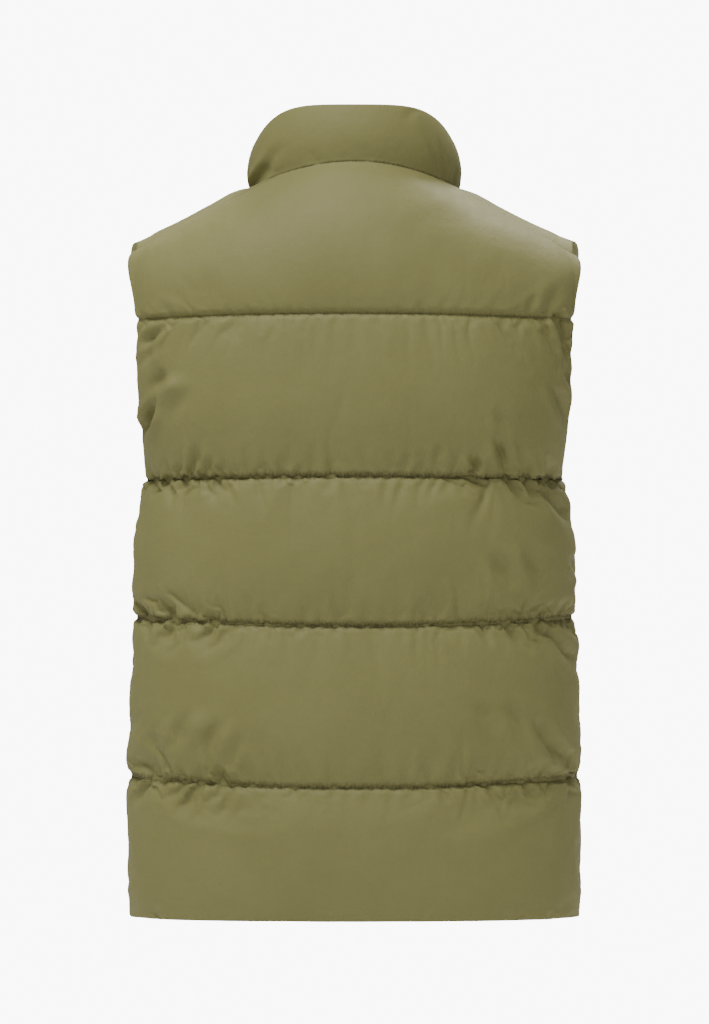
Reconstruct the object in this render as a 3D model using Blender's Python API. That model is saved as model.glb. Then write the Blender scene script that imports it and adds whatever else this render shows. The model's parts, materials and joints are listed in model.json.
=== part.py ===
"""A quilted puffer vest, filled out as if worn: back, two fronts, stand collar and a front zip.

Metres, +Z up. The front faces -Y and the wearer's left is +X. Heights in the tables are
measured up from the hem, and the finished pieces are lowered so that the origin lies
between the wearer's shoulders, which carry the vest.
"""
import math
from bisect import bisect_right
from collections import namedtuple

import bmesh
import bpy
import numpy as np

# Driving sizes.
ORIGIN_HEIGHT = 0.655      # shoulders above the hem
ROUNDNESS = 2.3            # power of the body's rings: 2 is an ellipse, more is boxier
SEAM_GAP = 0.0003          # free space between two pieces at a seam
ZIP_EDGE = 0.0050          # front edges and collar ends, out from the centre line

# The body's rings from the hem to the yoke line. half_width is to the side seam, and above
# the underarm to the armhole's edge. bow lifts the middle of the row above its sides.
Ring = namedtuple("Ring", "height half_width back front bow")
RINGS = (
    Ring(0.000, 0.2085, 0.124, 0.120, 0.0000),
    Ring(0.066, 0.2058, 0.125, 0.122, -0.0040),
    Ring(0.132, 0.2088, 0.125, 0.124, -0.0080),
    Ring(0.206, 0.2036, 0.126, 0.125, -0.0078),
    Ring(0.281, 0.2036, 0.124, 0.126, -0.0070),
    Ring(0.345, 0.2002, 0.125, 0.130, -0.0020),
    Ring(0.410, 0.1940, 0.124, 0.132, 0.0030),
    Ring(0.485, 0.1978, 0.126, 0.131, 0.0045),
    Ring(0.559, 0.2032, 0.124, 0.124, 0.0055),
)
QUILT_LINES = (0.000, 0.132, 0.281, 0.410, 0.559)   # hem first, yoke line last
UNDERARM = QUILT_LINES[3]
YOKE_LINE = QUILT_LINES[4]

# Armholes: depth from the side line to each edge, and how square the lower curve is.
ARMHOLE_BACK = 0.060
ARMHOLE_FRONT = 0.064
ARMHOLE_ROUNDNESS = 2.3
TIP_ROLL = 0.0055          # how far the armhole's edge swells outwards below the shoulder tip
TIP_ROLL_POWER = 6         # how closely that swell keeps to the edge

# Neck: the ring where the collar is sewn on.
NECK_HALF = 0.0970
NECK_BACK = 0.0760
NECK_FRONT = 0.0790
NECK_Y = -0.0060
NECK_SIDE_HEIGHT = 0.6835
NECK_BACK_RISE = 0.0240
NECK_FRONT_FALL = 0.0480

# Shoulders: the crest that the outline shows, and the seam, which lies behind it.
CREST_TIP = (0.2030, -0.0040, 0.6290)
CREST_SAG = 0.0034         # the crest's middle below a straight line
Seam = namedtuple("Seam", "side neck_angle tip back_column")
SEAMS = {
    "left": Seam(1, math.radians(46), (0.2045, 0.0150, 0.6240), 0.24),
    "right": Seam(-1, math.radians(72), (0.2045, 0.0200, 0.6200), 0.38),
}
SEAM_LEAN = math.radians(22)       # fall of the cloth across the shoulder seam
FRONT_NECK_COLUMN = 0.42           # share of the front's width that lies under the neck
BACK_TURN = (math.radians(50), math.radians(67))    # turn at the neck and at the shoulder
FRONT_TURN = (math.radians(58), math.radians(90))
BACK_SWELL = (1.9, 1.9)    # power of the rise over the shoulder, at the neck and the armhole
FRONT_SWELL = (1.45, 1.9)
BACK_TURN_POWER = 0.5      # how soon the back's turn passes from the neck's to the shoulder's
NECK_BLEND_POWER = 3       # how closely the shoulder's cloth follows the ring beside the neck

# Collar above the neck ring.
COLLAR_SEAT = 0.0024       # lower edge above the neck ring's middle
COLLAR_SIDE_TOP = 0.7300
COLLAR_BACK_RISE = 0.0300
COLLAR_RISE_POWER = 5      # how flat the collar's top edge is across the back
COLLAR_FRONT_FALL = 0.0310
COLLAR_LEAN_IN = 0.0085    # how much narrower the top is on each side
COLLAR_BACK_LEAN = 0.0070

# Padding: half the wall at a seam, and what the filling adds outwards and inwards.
EDGE_HALF = 0.0015
Padding = namedtuple("Padding", "out inner reach")
BODY_PADDING = Padding(0.0085, 0.0060, 0.030)
NECK_REACH = 0.022         # the fronts and back thin towards the neck seam over this
COLLAR_PADDING = Padding(0.0040, 0.0035, 0.018)
FULLNESS = 0.75            # power of the padding's swell: less is boxier
HEM_LOFT = 0.35            # share of the padding that the folded hem keeps
COLLAR_TOP_LOFT = 0.45
ARMHOLE_LOFT = 0.30
ZIP_MARGIN = 0.0155        # inner face stays flat this far from the zip edge

# Grid: rows in a channel, columns in a back section and in a front.
CHANNEL_STEPS = 6
BACK_COLUMNS = (5, 9, 6)   # right shoulder, neck, left shoulder
FRONT_COLUMNS = (5, 7)     # under the neck, under the shoulder
ZIP_COLUMN = 0.032         # share of the front's width that stays flat behind the zip tape
ZIP_ANGLE = math.radians(5.5)      # the same at the collar's ends
SHOULDER_STEPS = 2         # rows from the crest to the shoulder seam
COLLAR_COLUMNS = 34
COLLAR_ROWS = 5

# Zip.
TAPE_INNER_EDGE = 0.0006
TAPE_OUTER_EDGE = 0.0130
TAPE_HALF = 0.0006
TAPE_GAP = 0.0005          # between the fronts' inner faces and the tape
TAPE_SAG = 0.0006          # the tape's outer edge lies this much deeper than its inner edge
TAPE_END = 0.0015          # the tapes end this far below the collar's top edge
CHAIN_HALF_WIDTH = 0.0028
CHAIN_OUT = 0.0009
ZIP_BACK = EDGE_HALF       # the chain's back face, in from the front's middle line
BOX_SIZE = (0.0092, 0.0100)
BOX_OUT = 0.0020
ZIP_BOTTOM = 0.0030
STOP_SIZE = (0.0024, 0.0032)
STOP_X = 0.0023
STOP_OUT = 0.0012
SLIDER_LENGTH = 0.0110
SLIDER_TOP_HALF = 0.0045
SLIDER_TAIL_HALF = 0.0034
SLIDER_OUT = 0.0028
SLIDER_SHOULDER = 0.3      # where the body reaches its full width, from its middle to its top
EDGE_BEVEL = 0.0003
TOP_MARGIN = 0.0080        # slider's upper end below the collar's top edge
BRIDGE_HALF_WIDTH = 0.0011
BRIDGE_HALF_LENGTH = 0.0034
BRIDGE_BAR = 0.0012
BRIDGE_CLEAR = 0.0022
BRIDGE_ROOT = 0.0006       # sunk this far into the slider's face
BRIDGE_TAPER = 0.0004
TAB_LENGTH = 0.0260
TAB_HALF_TOP = 0.0034
TAB_HALF_END = 0.0042
TAB_THICKNESS = 0.0013
TAB_SLOT_HALF = 0.0017
TAB_SLOT_LENGTH = 0.0058
TAB_WIDEST = 0.85          # where the tab is widest, from its slot's end to its own
HINGE_DROP = 0.0012        # hinge below the bridge's middle
HINGE_OUT = 0.0011         # hinge in front of the slider's face

# Colour (linear), roughness and metallic of each material.
Finish = namedtuple("Finish", "color roughness metallic")
SHARP_ANGLE = math.radians(50)
FINISHES = {
    "shell_fabric": Finish((0.266, 0.246, 0.107), 0.62, 0.0),
    "zip_tape": Finish((0.150, 0.138, 0.062), 0.80, 0.0),
    "zip_teeth": Finish((0.120, 0.112, 0.052), 0.45, 0.0),
    "zip_metal": Finish((0.300, 0.290, 0.260), 0.35, 1.0),
}


def clear_scene():
    for item in list(bpy.data.objects):
        bpy.data.objects.remove(item, do_unlink=True)


def material(name):
    """The Principled material of one finish, made once."""
    found = bpy.data.materials.get(name)
    if found:
        return found
    finish = FINISHES[name]
    made = bpy.data.materials.new(name)
    made.use_nodes = True
    shader = made.node_tree.nodes["Principled BSDF"]
    shader.inputs["Base Color"].default_value = (*finish.color, 1.0)
    shader.inputs["Roughness"].default_value = finish.roughness
    shader.inputs["Metallic"].default_value = finish.metallic
    return made


def add_object(name, shape, finish, smooth=True):
    """Turn a finished bmesh into a named object whose origin is the vest's."""
    bmesh.ops.recalc_face_normals(shape, faces=shape.faces)
    mesh = bpy.data.meshes.new(name)
    shape.to_mesh(mesh)
    shape.free()
    mesh.materials.append(material(finish))
    if smooth:
        mesh.shade_smooth()
        mesh.set_sharp_from_angle(angle=SHARP_ANGLE)
    item = bpy.data.objects.new(name, mesh)
    bpy.context.scene.collection.objects.link(item)
    return item


def mix(start, end, share):
    return start + (end - start) * share


def table_value(column, height):
    """A ring's size at any height, on a smooth curve through the table's rows."""
    heights = np.array([ring.height for ring in RINGS])
    values = np.array([getattr(ring, column) for ring in RINGS])
    slopes = np.gradient(values, heights)
    low = min(max(bisect_right(heights, height) - 1, 0), len(RINGS) - 2)
    span = heights[low + 1] - heights[low]
    t = (height - heights[low]) / span
    start = values[low] * (2 * t**3 - 3 * t**2 + 1) + slopes[low] * span * (t**3 - 2 * t**2 + t)
    end = values[low + 1] * (3 * t**2 - 2 * t**3) + slopes[low + 1] * span * (t**3 - t**2)
    return start + end


def armhole_reach(height, most):
    """Half the armhole's depth at a height: nothing at the underarm, most at the yoke line."""
    if height <= UNDERARM:
        return 0.0
    left = (YOKE_LINE - height) / (YOKE_LINE - UNDERARM)
    return most * (1 - left**ARMHOLE_ROUNDNESS) ** (1 / ARMHOLE_ROUNDNESS)


def body_point(share, height, side, front):
    """The wall's middle on the ring at a height; share is 0 at the centre, 1 at the side."""
    depth = table_value("front" if front else "back", height)
    reach = armhole_reach(height, ARMHOLE_FRONT if front else ARMHOLE_BACK)
    cut = (1 - (reach / depth) ** ROUNDNESS) ** (1 / ROUNDNESS)
    half_width = table_value("half_width", height) / cut
    edge_angle = math.acos((reach / depth) ** (ROUNDNESS / 2))
    angle = share * edge_angle
    x = half_width * math.sin(angle) ** (2 / ROUNDNESS)
    y = depth * math.cos(angle) ** (2 / ROUNDNESS)
    z = height + table_value("bow", height) * (1 - (x / half_width) ** 2)
    if front:
        x = ZIP_EDGE + x * (half_width * cut - ZIP_EDGE) / (half_width * cut)
        y = -y
    return np.array((side * x, y, z))


def neck_point(angle):
    """The neck ring's middle: 0 at the centre back, plus and minus pi at the centre front."""
    back = math.cos(angle) > 0
    lift = NECK_BACK_RISE if back else -NECK_FRONT_FALL
    x = NECK_HALF * math.sin(angle)
    y = NECK_Y + (NECK_BACK if back else NECK_FRONT) * math.cos(angle)
    z = NECK_SIDE_HEIGHT + lift * math.cos(angle) ** 2
    return np.array((open_front(x, angle), y, z))


def open_front(x, angle):
    """Keep the front half of a neck ring clear of the zip."""
    if math.cos(angle) > 0:
        return x
    side = math.copysign(1, angle)
    return side * ZIP_EDGE + x * (NECK_HALF - ZIP_EDGE) / NECK_HALF


def seam_point(seam, share):
    """The shoulder seam from the neck to the tip."""
    tip = np.array(seam.tip) * (seam.side, 1, 1)
    return mix(neck_point(seam.side * seam.neck_angle), tip, share)


def crest_point(seam, share):
    """The shoulder's crest from the neck to the tip."""
    tip = np.array(CREST_TIP) * (seam.side, 1, 1)
    sag = np.array((0, 0, CREST_SAG * math.sin(math.pi * share)))
    return mix(neck_point(seam.side * math.pi / 2), tip, share) - sag


def arch_point(start, end, turn, share, edge, swell):
    """A point on the rise over the shoulder: upright at start, leaning by turn at end."""
    angle = turn * share
    power = 2 / mix(*swell, edge)
    run = (1 - abs(math.cos(angle)) ** power) / (1 - abs(math.cos(turn)) ** power)
    rise = (math.sin(angle) / math.sin(turn)) ** power
    point = mix(start, end, np.array((run, run, rise)))
    point[0] += math.copysign(TIP_ROLL * edge**TIP_ROLL_POWER * math.sin(math.pi * run), start[0])
    return point


def channel_heights():
    """Row heights from the hem to the yoke line, closer together near the quilting."""
    heights = [QUILT_LINES[0]]
    for low, high in zip(QUILT_LINES, QUILT_LINES[1:]):
        for step in range(1, CHANNEL_STEPS + 1):
            share = (1 - math.cos(math.pi * step / CHANNEL_STEPS)) / 2
            heights.append(mix(low, high, share))
    return heights


def eased(share):
    """Share of the way up the yoke, slow at both ends."""
    return (1 - math.cos(math.pi * share)) / 2


def section(start, end, count):
    return [mix(start, end, step / count) for step in range(count)]


class Grid:
    """A piece's middle surface: rows going up, columns going round, and which points exist."""

    def __init__(self, rows, columns, outward):
        self.points = np.zeros((rows, columns, 3))
        self.exists = np.ones((rows, columns), dtype=bool)
        self.fixed_normals = {}
        self.outward = outward

    def has_face(self, i, j):
        return self.exists[i:i + 2, j:j + 2].all()

    def faces(self):
        rows, columns = self.exists.shape
        return [(i, j) for i in range(rows - 1) for j in range(columns - 1)
                if self.has_face(i, j)]

    def normals(self):
        """Outward directions: the mean of the faces round each point, or the seam's own."""
        total = np.zeros_like(self.points)
        for i, j in self.faces():
            across = self.points[i + 1, j + 1] - self.points[i, j]
            other = self.points[i + 1, j] - self.points[i, j + 1]
            normal = np.cross(across, other) * self.outward
            normal /= np.linalg.norm(normal)
            total[i:i + 2, j:j + 2] += normal
        for place, normal in self.fixed_normals.items():
            total[place] = normal
        length = np.linalg.norm(total, axis=2, keepdims=True)
        return total / np.where(length > 0, length, 1)

    def along(self, axis):
        """Distance of each point from the two ends of its own row (1) or column (0)."""
        steps = np.linalg.norm(np.diff(self.points, axis=axis), axis=2)
        both = self.exists.take(range(1, self.exists.shape[axis]), axis)
        both = both & self.exists.take(range(self.exists.shape[axis] - 1), axis)
        steps = np.where(both, steps, 0)
        start = np.insert(np.cumsum(steps, axis=axis), 0, 0, axis=axis)
        end = np.max(start, axis=axis, keepdims=True) - start
        return start, end


def channel_loft(grid, line_rows, foot_loft=0.0, top_loft=0.0):
    """Fullness between the quilting lines, from 0 on a line to 1 in a channel's middle."""
    up = grid.along(0)[0]
    loft = np.zeros(grid.exists.shape)
    for j in range(loft.shape[1]):
        last = int(np.flatnonzero(grid.exists[:, j])[-1])
        stops = [row for row in line_rows if row < last] + [last]
        for low, high in zip(stops, stops[1:]):
            place = (up[low:high + 1, j] - up[low, j]) / (up[high, j] - up[low, j])
            full = np.sin(math.pi * np.clip(place, 0, 1)) ** FULLNESS
            if low == 0:
                full = np.where(place < 0.5, foot_loft + (1 - foot_loft) * full, full)
            if high == last:
                full = np.where(place > 0.5, top_loft + (1 - top_loft) * full, full)
            loft[low:high + 1, j] = full
    return loft


def neck_distance(grid):
    """Distance of each point from the neck ring."""
    ring = np.array([neck_point(math.radians(step)) for step in range(-180, 181, 3)])
    apart = np.linalg.norm(grid.points[:, :, None, :] - ring, axis=3)
    return apart.min(axis=2)


def edge_loft(distance, reach, least):
    """Fullness at a distance from an edge: least on it and 1 from reach onwards."""
    full = np.sin(math.pi / 2 * np.clip(distance / reach, 0, 1)) ** FULLNESS
    return np.maximum(full, least)


def wall(name, grid, outer, inner):
    """A closed wall round the middle surface, with its own half thickness on each side."""
    normals = grid.normals()
    faces = grid.faces()
    shape = bmesh.new()
    sides = []
    for offset in (outer, -inner):
        skin = {}
        for i, j in zip(*np.nonzero(grid.exists)):
            place = grid.points[i, j] + normals[i, j] * offset[i, j]
            skin[(i, j)] = shape.verts.new(place - (0, 0, ORIGIN_HEIGHT))
        sides.append(skin)
    rim = {}
    for i, j in faces:
        corners = [(i, j), (i, j + 1), (i + 1, j + 1), (i + 1, j)]
        shape.faces.new([sides[0][corner] for corner in corners])
        shape.faces.new([sides[1][corner] for corner in reversed(corners)])
        for start, end in zip(corners, corners[1:] + corners[:1]):
            if (end, start) in rim:
                del rim[(end, start)]
            else:
                rim[(start, end)] = True
    for start, end in rim:
        quad = (sides[0][end], sides[0][start], sides[1][start], sides[1][end])
        shape.faces.new(quad)
    return add_object(name, shape, "shell_fabric")


def pull_in(grid, places, toward):
    """Move seam points half the seam gap towards their neighbours inside the piece."""
    for place, inside in zip(places, toward):
        step = grid.points[inside] - grid.points[place]
        grid.points[place] += step / np.linalg.norm(step) * SEAM_GAP / 2


def side_seam_normals(grid, column, side, rows):
    """Both pieces at a side seam share the direction square to the seam."""
    for i in range(rows):
        low = grid.points[max(i - 1, 0), column]
        high = grid.points[min(i + 1, rows - 1), column]
        rise = high - low
        grid.fixed_normals[(i, column)] = np.array((side * rise[2], 0.0, -side * rise[0]))


def shoulder_seam_normals(grid, seam, places):
    """Both pieces at a shoulder seam share the direction square to the sloping cloth."""
    along = seam_point(seam, 1) - seam_point(seam, 0)
    across = np.array((0.0, -math.cos(SEAM_LEAN), math.sin(SEAM_LEAN)))
    normal = np.cross(across, along) * seam.side
    normal *= math.copysign(1, normal[2])
    for place in places:
        grid.fixed_normals[place] = normal


def make_back():
    left = SEAMS["left"]
    right = SEAMS["right"]
    shares = section(-1, -right.back_column, BACK_COLUMNS[0])
    shares += section(-right.back_column, left.back_column, BACK_COLUMNS[1])
    shares += section(left.back_column, 1, BACK_COLUMNS[2]) + [1]
    heights = channel_heights()
    yoke_row = len(heights) - 1
    grid = Grid(len(heights) + CHANNEL_STEPS, len(shares), -1)
    for j, share in enumerate(shares):
        side = math.copysign(1, share)
        for i, height in enumerate(heights):
            grid.points[i, j] = body_point(abs(share), height, side, False)
        if -right.back_column <= share <= left.back_column:
            reach = mix(-right.neck_angle, left.neck_angle,
                        (share + right.back_column) / (left.back_column + right.back_column))
            top = neck_point(reach)
        else:
            seam = left if share > 0 else right
            top = seam_point(seam, (abs(share) - seam.back_column) / (1 - seam.back_column))
        turn = mix(*BACK_TURN, abs(share) ** BACK_TURN_POWER)
        for step in range(1, CHANNEL_STEPS + 1):
            place = eased(step / CHANNEL_STEPS)
            grid.points[yoke_row + step, j] = arch_point(
                grid.points[yoke_row, j], top, turn, place, abs(share), BACK_SWELL)
    last = len(heights) + CHANNEL_STEPS - 1
    seam_rows = heights.index(UNDERARM) + 1
    for column, inside, side in ((0, 1, -1), (len(shares) - 1, len(shares) - 2, 1)):
        side_seam_normals(grid, column, side, seam_rows)
        pull_in(grid, [(i, column) for i in range(seam_rows)],
                [(i, inside) for i in range(seam_rows)])
    for seam, columns in ((right, range(0, BACK_COLUMNS[0] + 1)),
                          (left, range(sum(BACK_COLUMNS[:2]), len(shares)))):
        places = [(last, j) for j in columns]
        shoulder_seam_normals(grid, seam, places)
        pull_in(grid, places, [(last - 1, j) for j in columns])
    loft = channel_loft(grid, [k * CHANNEL_STEPS for k in range(5)], foot_loft=HEM_LOFT)
    least = np.zeros(loft.shape)
    least[seam_rows:last] = ARMHOLE_LOFT
    for distance in grid.along(1):
        loft = loft * edge_loft(distance, BODY_PADDING.reach, least)
    loft = loft * edge_loft(neck_distance(grid), NECK_REACH, 0.0)
    return wall("back_panel", grid, EDGE_HALF + BODY_PADDING.out * loft,
                EDGE_HALF + BODY_PADDING.inner * loft)


def make_front(which):
    seam = SEAMS[which]
    shares = [0] + section(ZIP_COLUMN, FRONT_NECK_COLUMN, FRONT_COLUMNS[0])
    shares += section(FRONT_NECK_COLUMN, 1, FRONT_COLUMNS[1]) + [1]
    neck_column = FRONT_COLUMNS[0] + 1
    heights = channel_heights()
    yoke_row = len(heights) - 1
    crest_row = yoke_row + CHANNEL_STEPS
    last = crest_row + SHOULDER_STEPS
    grid = Grid(last + 1, len(shares), seam.side)
    grid.exists[crest_row + 1:, :neck_column] = False
    for j, share in enumerate(shares):
        for i, height in enumerate(heights):
            grid.points[i, j] = body_point(share, height, seam.side, True)
        across = max(0, share - FRONT_NECK_COLUMN) / (1 - FRONT_NECK_COLUMN)
        if share < FRONT_NECK_COLUMN:
            angle = mix(math.pi, math.pi / 2, share / FRONT_NECK_COLUMN)
            top = neck_point(seam.side * angle)
            turn = mix(*FRONT_TURN, share / FRONT_NECK_COLUMN)
        else:
            top = crest_point(seam, across)
            turn = FRONT_TURN[1]
        for step in range(1, CHANNEL_STEPS + 1):
            place = eased(step / CHANNEL_STEPS) if share < FRONT_NECK_COLUMN else (
                step / CHANNEL_STEPS)
            grid.points[yoke_row + step, j] = arch_point(
                grid.points[yoke_row, j], top, turn, place, share, FRONT_SWELL)
        for step in range(1, SHOULDER_STEPS + 1):
            place = step / SHOULDER_STEPS
            if not grid.exists[crest_row + step, j]:
                continue
            grid.points[crest_row + step, j] = shoulder_point(seam, across, place)
    seam_rows = heights.index(UNDERARM) + 1
    outer = len(shares) - 1
    side_seam_normals(grid, outer, seam.side, seam_rows)
    pull_in(grid, [(i, outer) for i in range(seam_rows)],
            [(i, outer - 1) for i in range(seam_rows)])
    places = [(last, j) for j in range(neck_column, len(shares))]
    shoulder_seam_normals(grid, seam, places)
    pull_in(grid, places, [(last - 1, j) for j in range(neck_column, len(shares))])
    loft = channel_loft(grid, [k * CHANNEL_STEPS for k in range(5)], foot_loft=HEM_LOFT)
    from_zip, from_side = grid.along(1)
    least = np.zeros(loft.shape)
    least[seam_rows:last] = ARMHOLE_LOFT
    loft = loft * edge_loft(from_side, BODY_PADDING.reach, least)
    loft = loft * edge_loft(neck_distance(grid), NECK_REACH, 0.0)
    outer_loft = loft * edge_loft(from_zip, BODY_PADDING.reach, 0.0)
    inner_loft = loft * edge_loft(np.maximum(from_zip - ZIP_MARGIN, 0), BODY_PADDING.reach, 0.0)
    return wall("front_" + which, grid, EDGE_HALF + BODY_PADDING.out * outer_loft,
                EDGE_HALF + BODY_PADDING.inner * inner_loft)


def shoulder_point(seam, across, place):
    """The front's cloth from the crest (0) back to the shoulder seam (1)."""
    def straight(column):
        crest = crest_point(seam, column)
        end = seam_point(seam, column)
        return mix(crest, end, np.array((place, place, place**2)))

    ring = neck_point(seam.side * mix(math.pi / 2, seam.neck_angle, place))
    return straight(across) + (ring - straight(0)) * (1 - across) ** NECK_BLEND_POWER


def collar_point(angle, share):
    """The collar wall's middle: share is 0 at its lower edge and 1 at its top."""
    back = math.cos(angle) > 0
    foot = neck_point(angle)
    half_width = NECK_HALF - COLLAR_LEAN_IN * share**2
    lean = COLLAR_BACK_LEAN * share**2 if back else 0.0
    depth = (NECK_BACK if back else NECK_FRONT) - lean
    x = open_front(half_width * math.sin(angle), angle)
    y = NECK_Y + depth * math.cos(angle)
    if back:
        rise = 1 - abs(math.sin(angle)) ** COLLAR_RISE_POWER
        top = COLLAR_SIDE_TOP + COLLAR_BACK_RISE * rise
    else:
        top = COLLAR_SIDE_TOP - COLLAR_FRONT_FALL * math.cos(angle) ** 2
    z = mix(foot[2] + COLLAR_SEAT, top, share)
    return np.array((x, y, z))


def make_collar():
    flat_end = math.pi - ZIP_ANGLE
    angles = [-math.pi] + section(-flat_end, flat_end, COLLAR_COLUMNS) + [flat_end, math.pi]
    grid = Grid(COLLAR_ROWS + 1, len(angles), -1)
    for i in range(COLLAR_ROWS + 1):
        for j, angle in enumerate(angles):
            grid.points[i, j] = collar_point(angle, eased(i / COLLAR_ROWS))
        for column in (0, len(angles) - 1):
            grid.fixed_normals[(i, column)] = np.array((0.0, -1.0, 0.0))
    for j, angle in enumerate(angles):
        level = np.array((math.sin(angle) / NECK_HALF, math.cos(angle) / NECK_BACK, 0.0))
        grid.fixed_normals[(0, j)] = level
    loft = channel_loft(grid, [0], top_loft=COLLAR_TOP_LOFT)
    outer_loft = loft.copy()
    inner_loft = loft.copy()
    for distance in grid.along(1):
        outer_loft = outer_loft * edge_loft(distance, COLLAR_PADDING.reach, 0.0)
        inner = np.maximum(distance - ZIP_MARGIN, 0)
        inner_loft = inner_loft * edge_loft(inner, COLLAR_PADDING.reach, 0.0)
    return wall("collar", grid, EDGE_HALF + COLLAR_PADDING.out * outer_loft,
                EDGE_HALF + COLLAR_PADDING.inner * inner_loft)


def zip_line(low, high):
    """Points (y, z) up the centre front between two heights, at the fronts' middle line."""
    points = [body_point(0, height, 1, True) for height in channel_heights()]
    foot = points[-1]
    neck = neck_point(math.pi)
    for step in range(1, CHANNEL_STEPS + 1):
        place = eased(step / CHANNEL_STEPS)
        points.append(arch_point(foot, neck, FRONT_TURN[0], place, 0, FRONT_SWELL))
    points.append(collar_point(math.pi, 1.0))
    line = [(point[1], point[2]) for point in points]
    heights = [z for _, z in line]
    inside = [place for place in line if low < place[1] < high]
    start = (float(np.interp(low, heights, [y for y, _ in line])), low)
    end = (float(np.interp(high, heights, [y for y, _ in line])), high)
    return [start] + inside + [end]


def ribbon(name, finish, line, x_range, y_range, sag=0.0):
    """A strip that follows the zip line; y_range is how far out from it each face lies.

    sag sinks the edge that is further from the centre line.
    """
    line = np.array(line)
    slope = np.gradient(line, axis=0)
    slope /= np.linalg.norm(slope, axis=1, keepdims=True)
    outward = np.stack((-slope[:, 1], slope[:, 0]), axis=1)
    shape = bmesh.new()
    far_edge = max(x_range, key=abs)
    corners = [(x_range[0], y_range[0]), (x_range[1], y_range[0]),
               (x_range[1], y_range[1]), (x_range[0], y_range[1])]
    loops = []
    for (y, z), (out_y, out_z) in zip(line, outward):
        loop = []
        for x, out in corners:
            depth = out - sag if x == far_edge else out
            place = (x, y + out_y * depth, z + out_z * depth - ORIGIN_HEIGHT)
            loop.append(shape.verts.new(place))
        loops.append(loop)
    shape.faces.new(loops[0])
    shape.faces.new(list(reversed(loops[-1])))
    for lower, upper in zip(loops, loops[1:]):
        for k in range(4):
            after = (k + 1) % 4
            shape.faces.new((lower[k], lower[after], upper[after], upper[k]))
    return add_object(name, shape, finish, smooth=False)


def block(name, finish, outline, y_front, y_back):
    """An outline in x and z, given an even depth, with a small bevel."""
    shape = bmesh.new()
    front = [shape.verts.new((x, y_front, z)) for x, z in outline]
    face = shape.faces.new(front)
    pushed = bmesh.ops.extrude_face_region(shape, geom=[face])["geom"]
    moved = [item for item in pushed if isinstance(item, bmesh.types.BMVert)]
    bmesh.ops.translate(shape, verts=moved, vec=(0, y_back - y_front, 0))
    item = add_object(name, shape, finish, smooth=False)
    bevel = item.modifiers.new("soft edges", "BEVEL")
    bevel.width = EDGE_BEVEL
    bevel.segments = 1
    return item


def rectangle(x_range, z_range):
    (left, right), (low, high) = x_range, z_range
    return ((left, low), (right, low), (right, high), (left, high))


def make_zip():
    top = collar_point(math.pi, 1.0)[2]
    slider_top = top - TOP_MARGIN
    slider_foot = slider_top - SLIDER_LENGTH
    box_top = ZIP_BOTTOM + BOX_SIZE[1]
    tape_front = -(EDGE_HALF + TAPE_GAP)
    tape_faces = (tape_front - 2 * TAPE_HALF, tape_front)
    for side, which in ((1, "left"), (-1, "right")):
        edges = sorted((side * TAPE_INNER_EDGE, side * TAPE_OUTER_EDGE))
        ribbon("zip_tape_" + which, "zip_tape", zip_line(ZIP_BOTTOM, top - TAPE_END),
               edges, tape_faces, TAPE_SAG)
    ribbon("zip_chain", "zip_teeth", zip_line(box_top + SEAM_GAP, slider_foot - SEAM_GAP),
           (-CHAIN_HALF_WIDTH, CHAIN_HALF_WIDTH), (-ZIP_BACK, CHAIN_OUT))
    ribbon("zip_box", "zip_teeth", zip_line(ZIP_BOTTOM, box_top),
           (-BOX_SIZE[0] / 2, BOX_SIZE[0] / 2), (-ZIP_BACK, BOX_OUT))
    line_y = collar_point(math.pi, 1.0)[1]
    for side, which in ((1, "left"), (-1, "right")):
        middle = side * STOP_X
        foot = slider_top + SEAM_GAP - ORIGIN_HEIGHT
        outline = rectangle((middle - STOP_SIZE[0] / 2, middle + STOP_SIZE[0] / 2),
                            (foot, foot + STOP_SIZE[1]))
        block("zip_top_stop_" + which, "zip_teeth", outline,
              line_y - STOP_OUT, line_y + ZIP_BACK)
    make_slider(slider_foot - ORIGIN_HEIGHT, slider_top - ORIGIN_HEIGHT, line_y)


def make_slider(foot, top, line_y):
    """The slider's body, wide at its top, with the bridge that holds the pull tab."""
    face_y = line_y - SLIDER_OUT
    middle = (foot + top) / 2
    shoulder = mix(middle, top, SLIDER_SHOULDER)
    outline = ((-SLIDER_TAIL_HALF, foot), (SLIDER_TAIL_HALF, foot),
               (SLIDER_TOP_HALF, shoulder), (SLIDER_TOP_HALF, top),
               (-SLIDER_TOP_HALF, top), (-SLIDER_TOP_HALF, shoulder))
    slider = block("zip_slider", "zip_metal", outline, face_y, line_y + ZIP_BACK)
    bridge = make_bridge(middle, face_y)
    join = slider.modifiers.new("bridge", "BOOLEAN")
    join.operation = "UNION"
    join.object = bridge
    hinge_y = face_y - HINGE_OUT
    hinge_z = middle - HINGE_DROP
    make_tab(hinge_y, hinge_z)


def make_bridge(middle, face_y):
    """An arch standing on the slider's face; the tab's bar lies under it."""
    half = BRIDGE_HALF_LENGTH
    hole = half - BRIDGE_BAR
    far = face_y - BRIDGE_CLEAR - BRIDGE_BAR
    near = face_y - BRIDGE_CLEAR
    root = face_y + BRIDGE_ROOT
    crown = half - BRIDGE_TAPER
    profile = ((root, middle - half), (far, middle - crown), (far, middle + crown),
               (root, middle + half), (root, middle + hole), (near, middle + hole),
               (near, middle - hole), (root, middle - hole))
    shape = bmesh.new()
    face = shape.faces.new([shape.verts.new((-BRIDGE_HALF_WIDTH, y, z)) for y, z in profile])
    pushed = bmesh.ops.extrude_face_region(shape, geom=[face])["geom"]
    moved = [item for item in pushed if isinstance(item, bmesh.types.BMVert)]
    bmesh.ops.translate(shape, verts=moved, vec=(2 * BRIDGE_HALF_WIDTH, 0, 0))
    bridge = add_object("bridge_guide", shape, "zip_metal", smooth=False)
    bridge.hide_render = True
    bridge.display_type = "WIRE"
    return bridge


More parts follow.
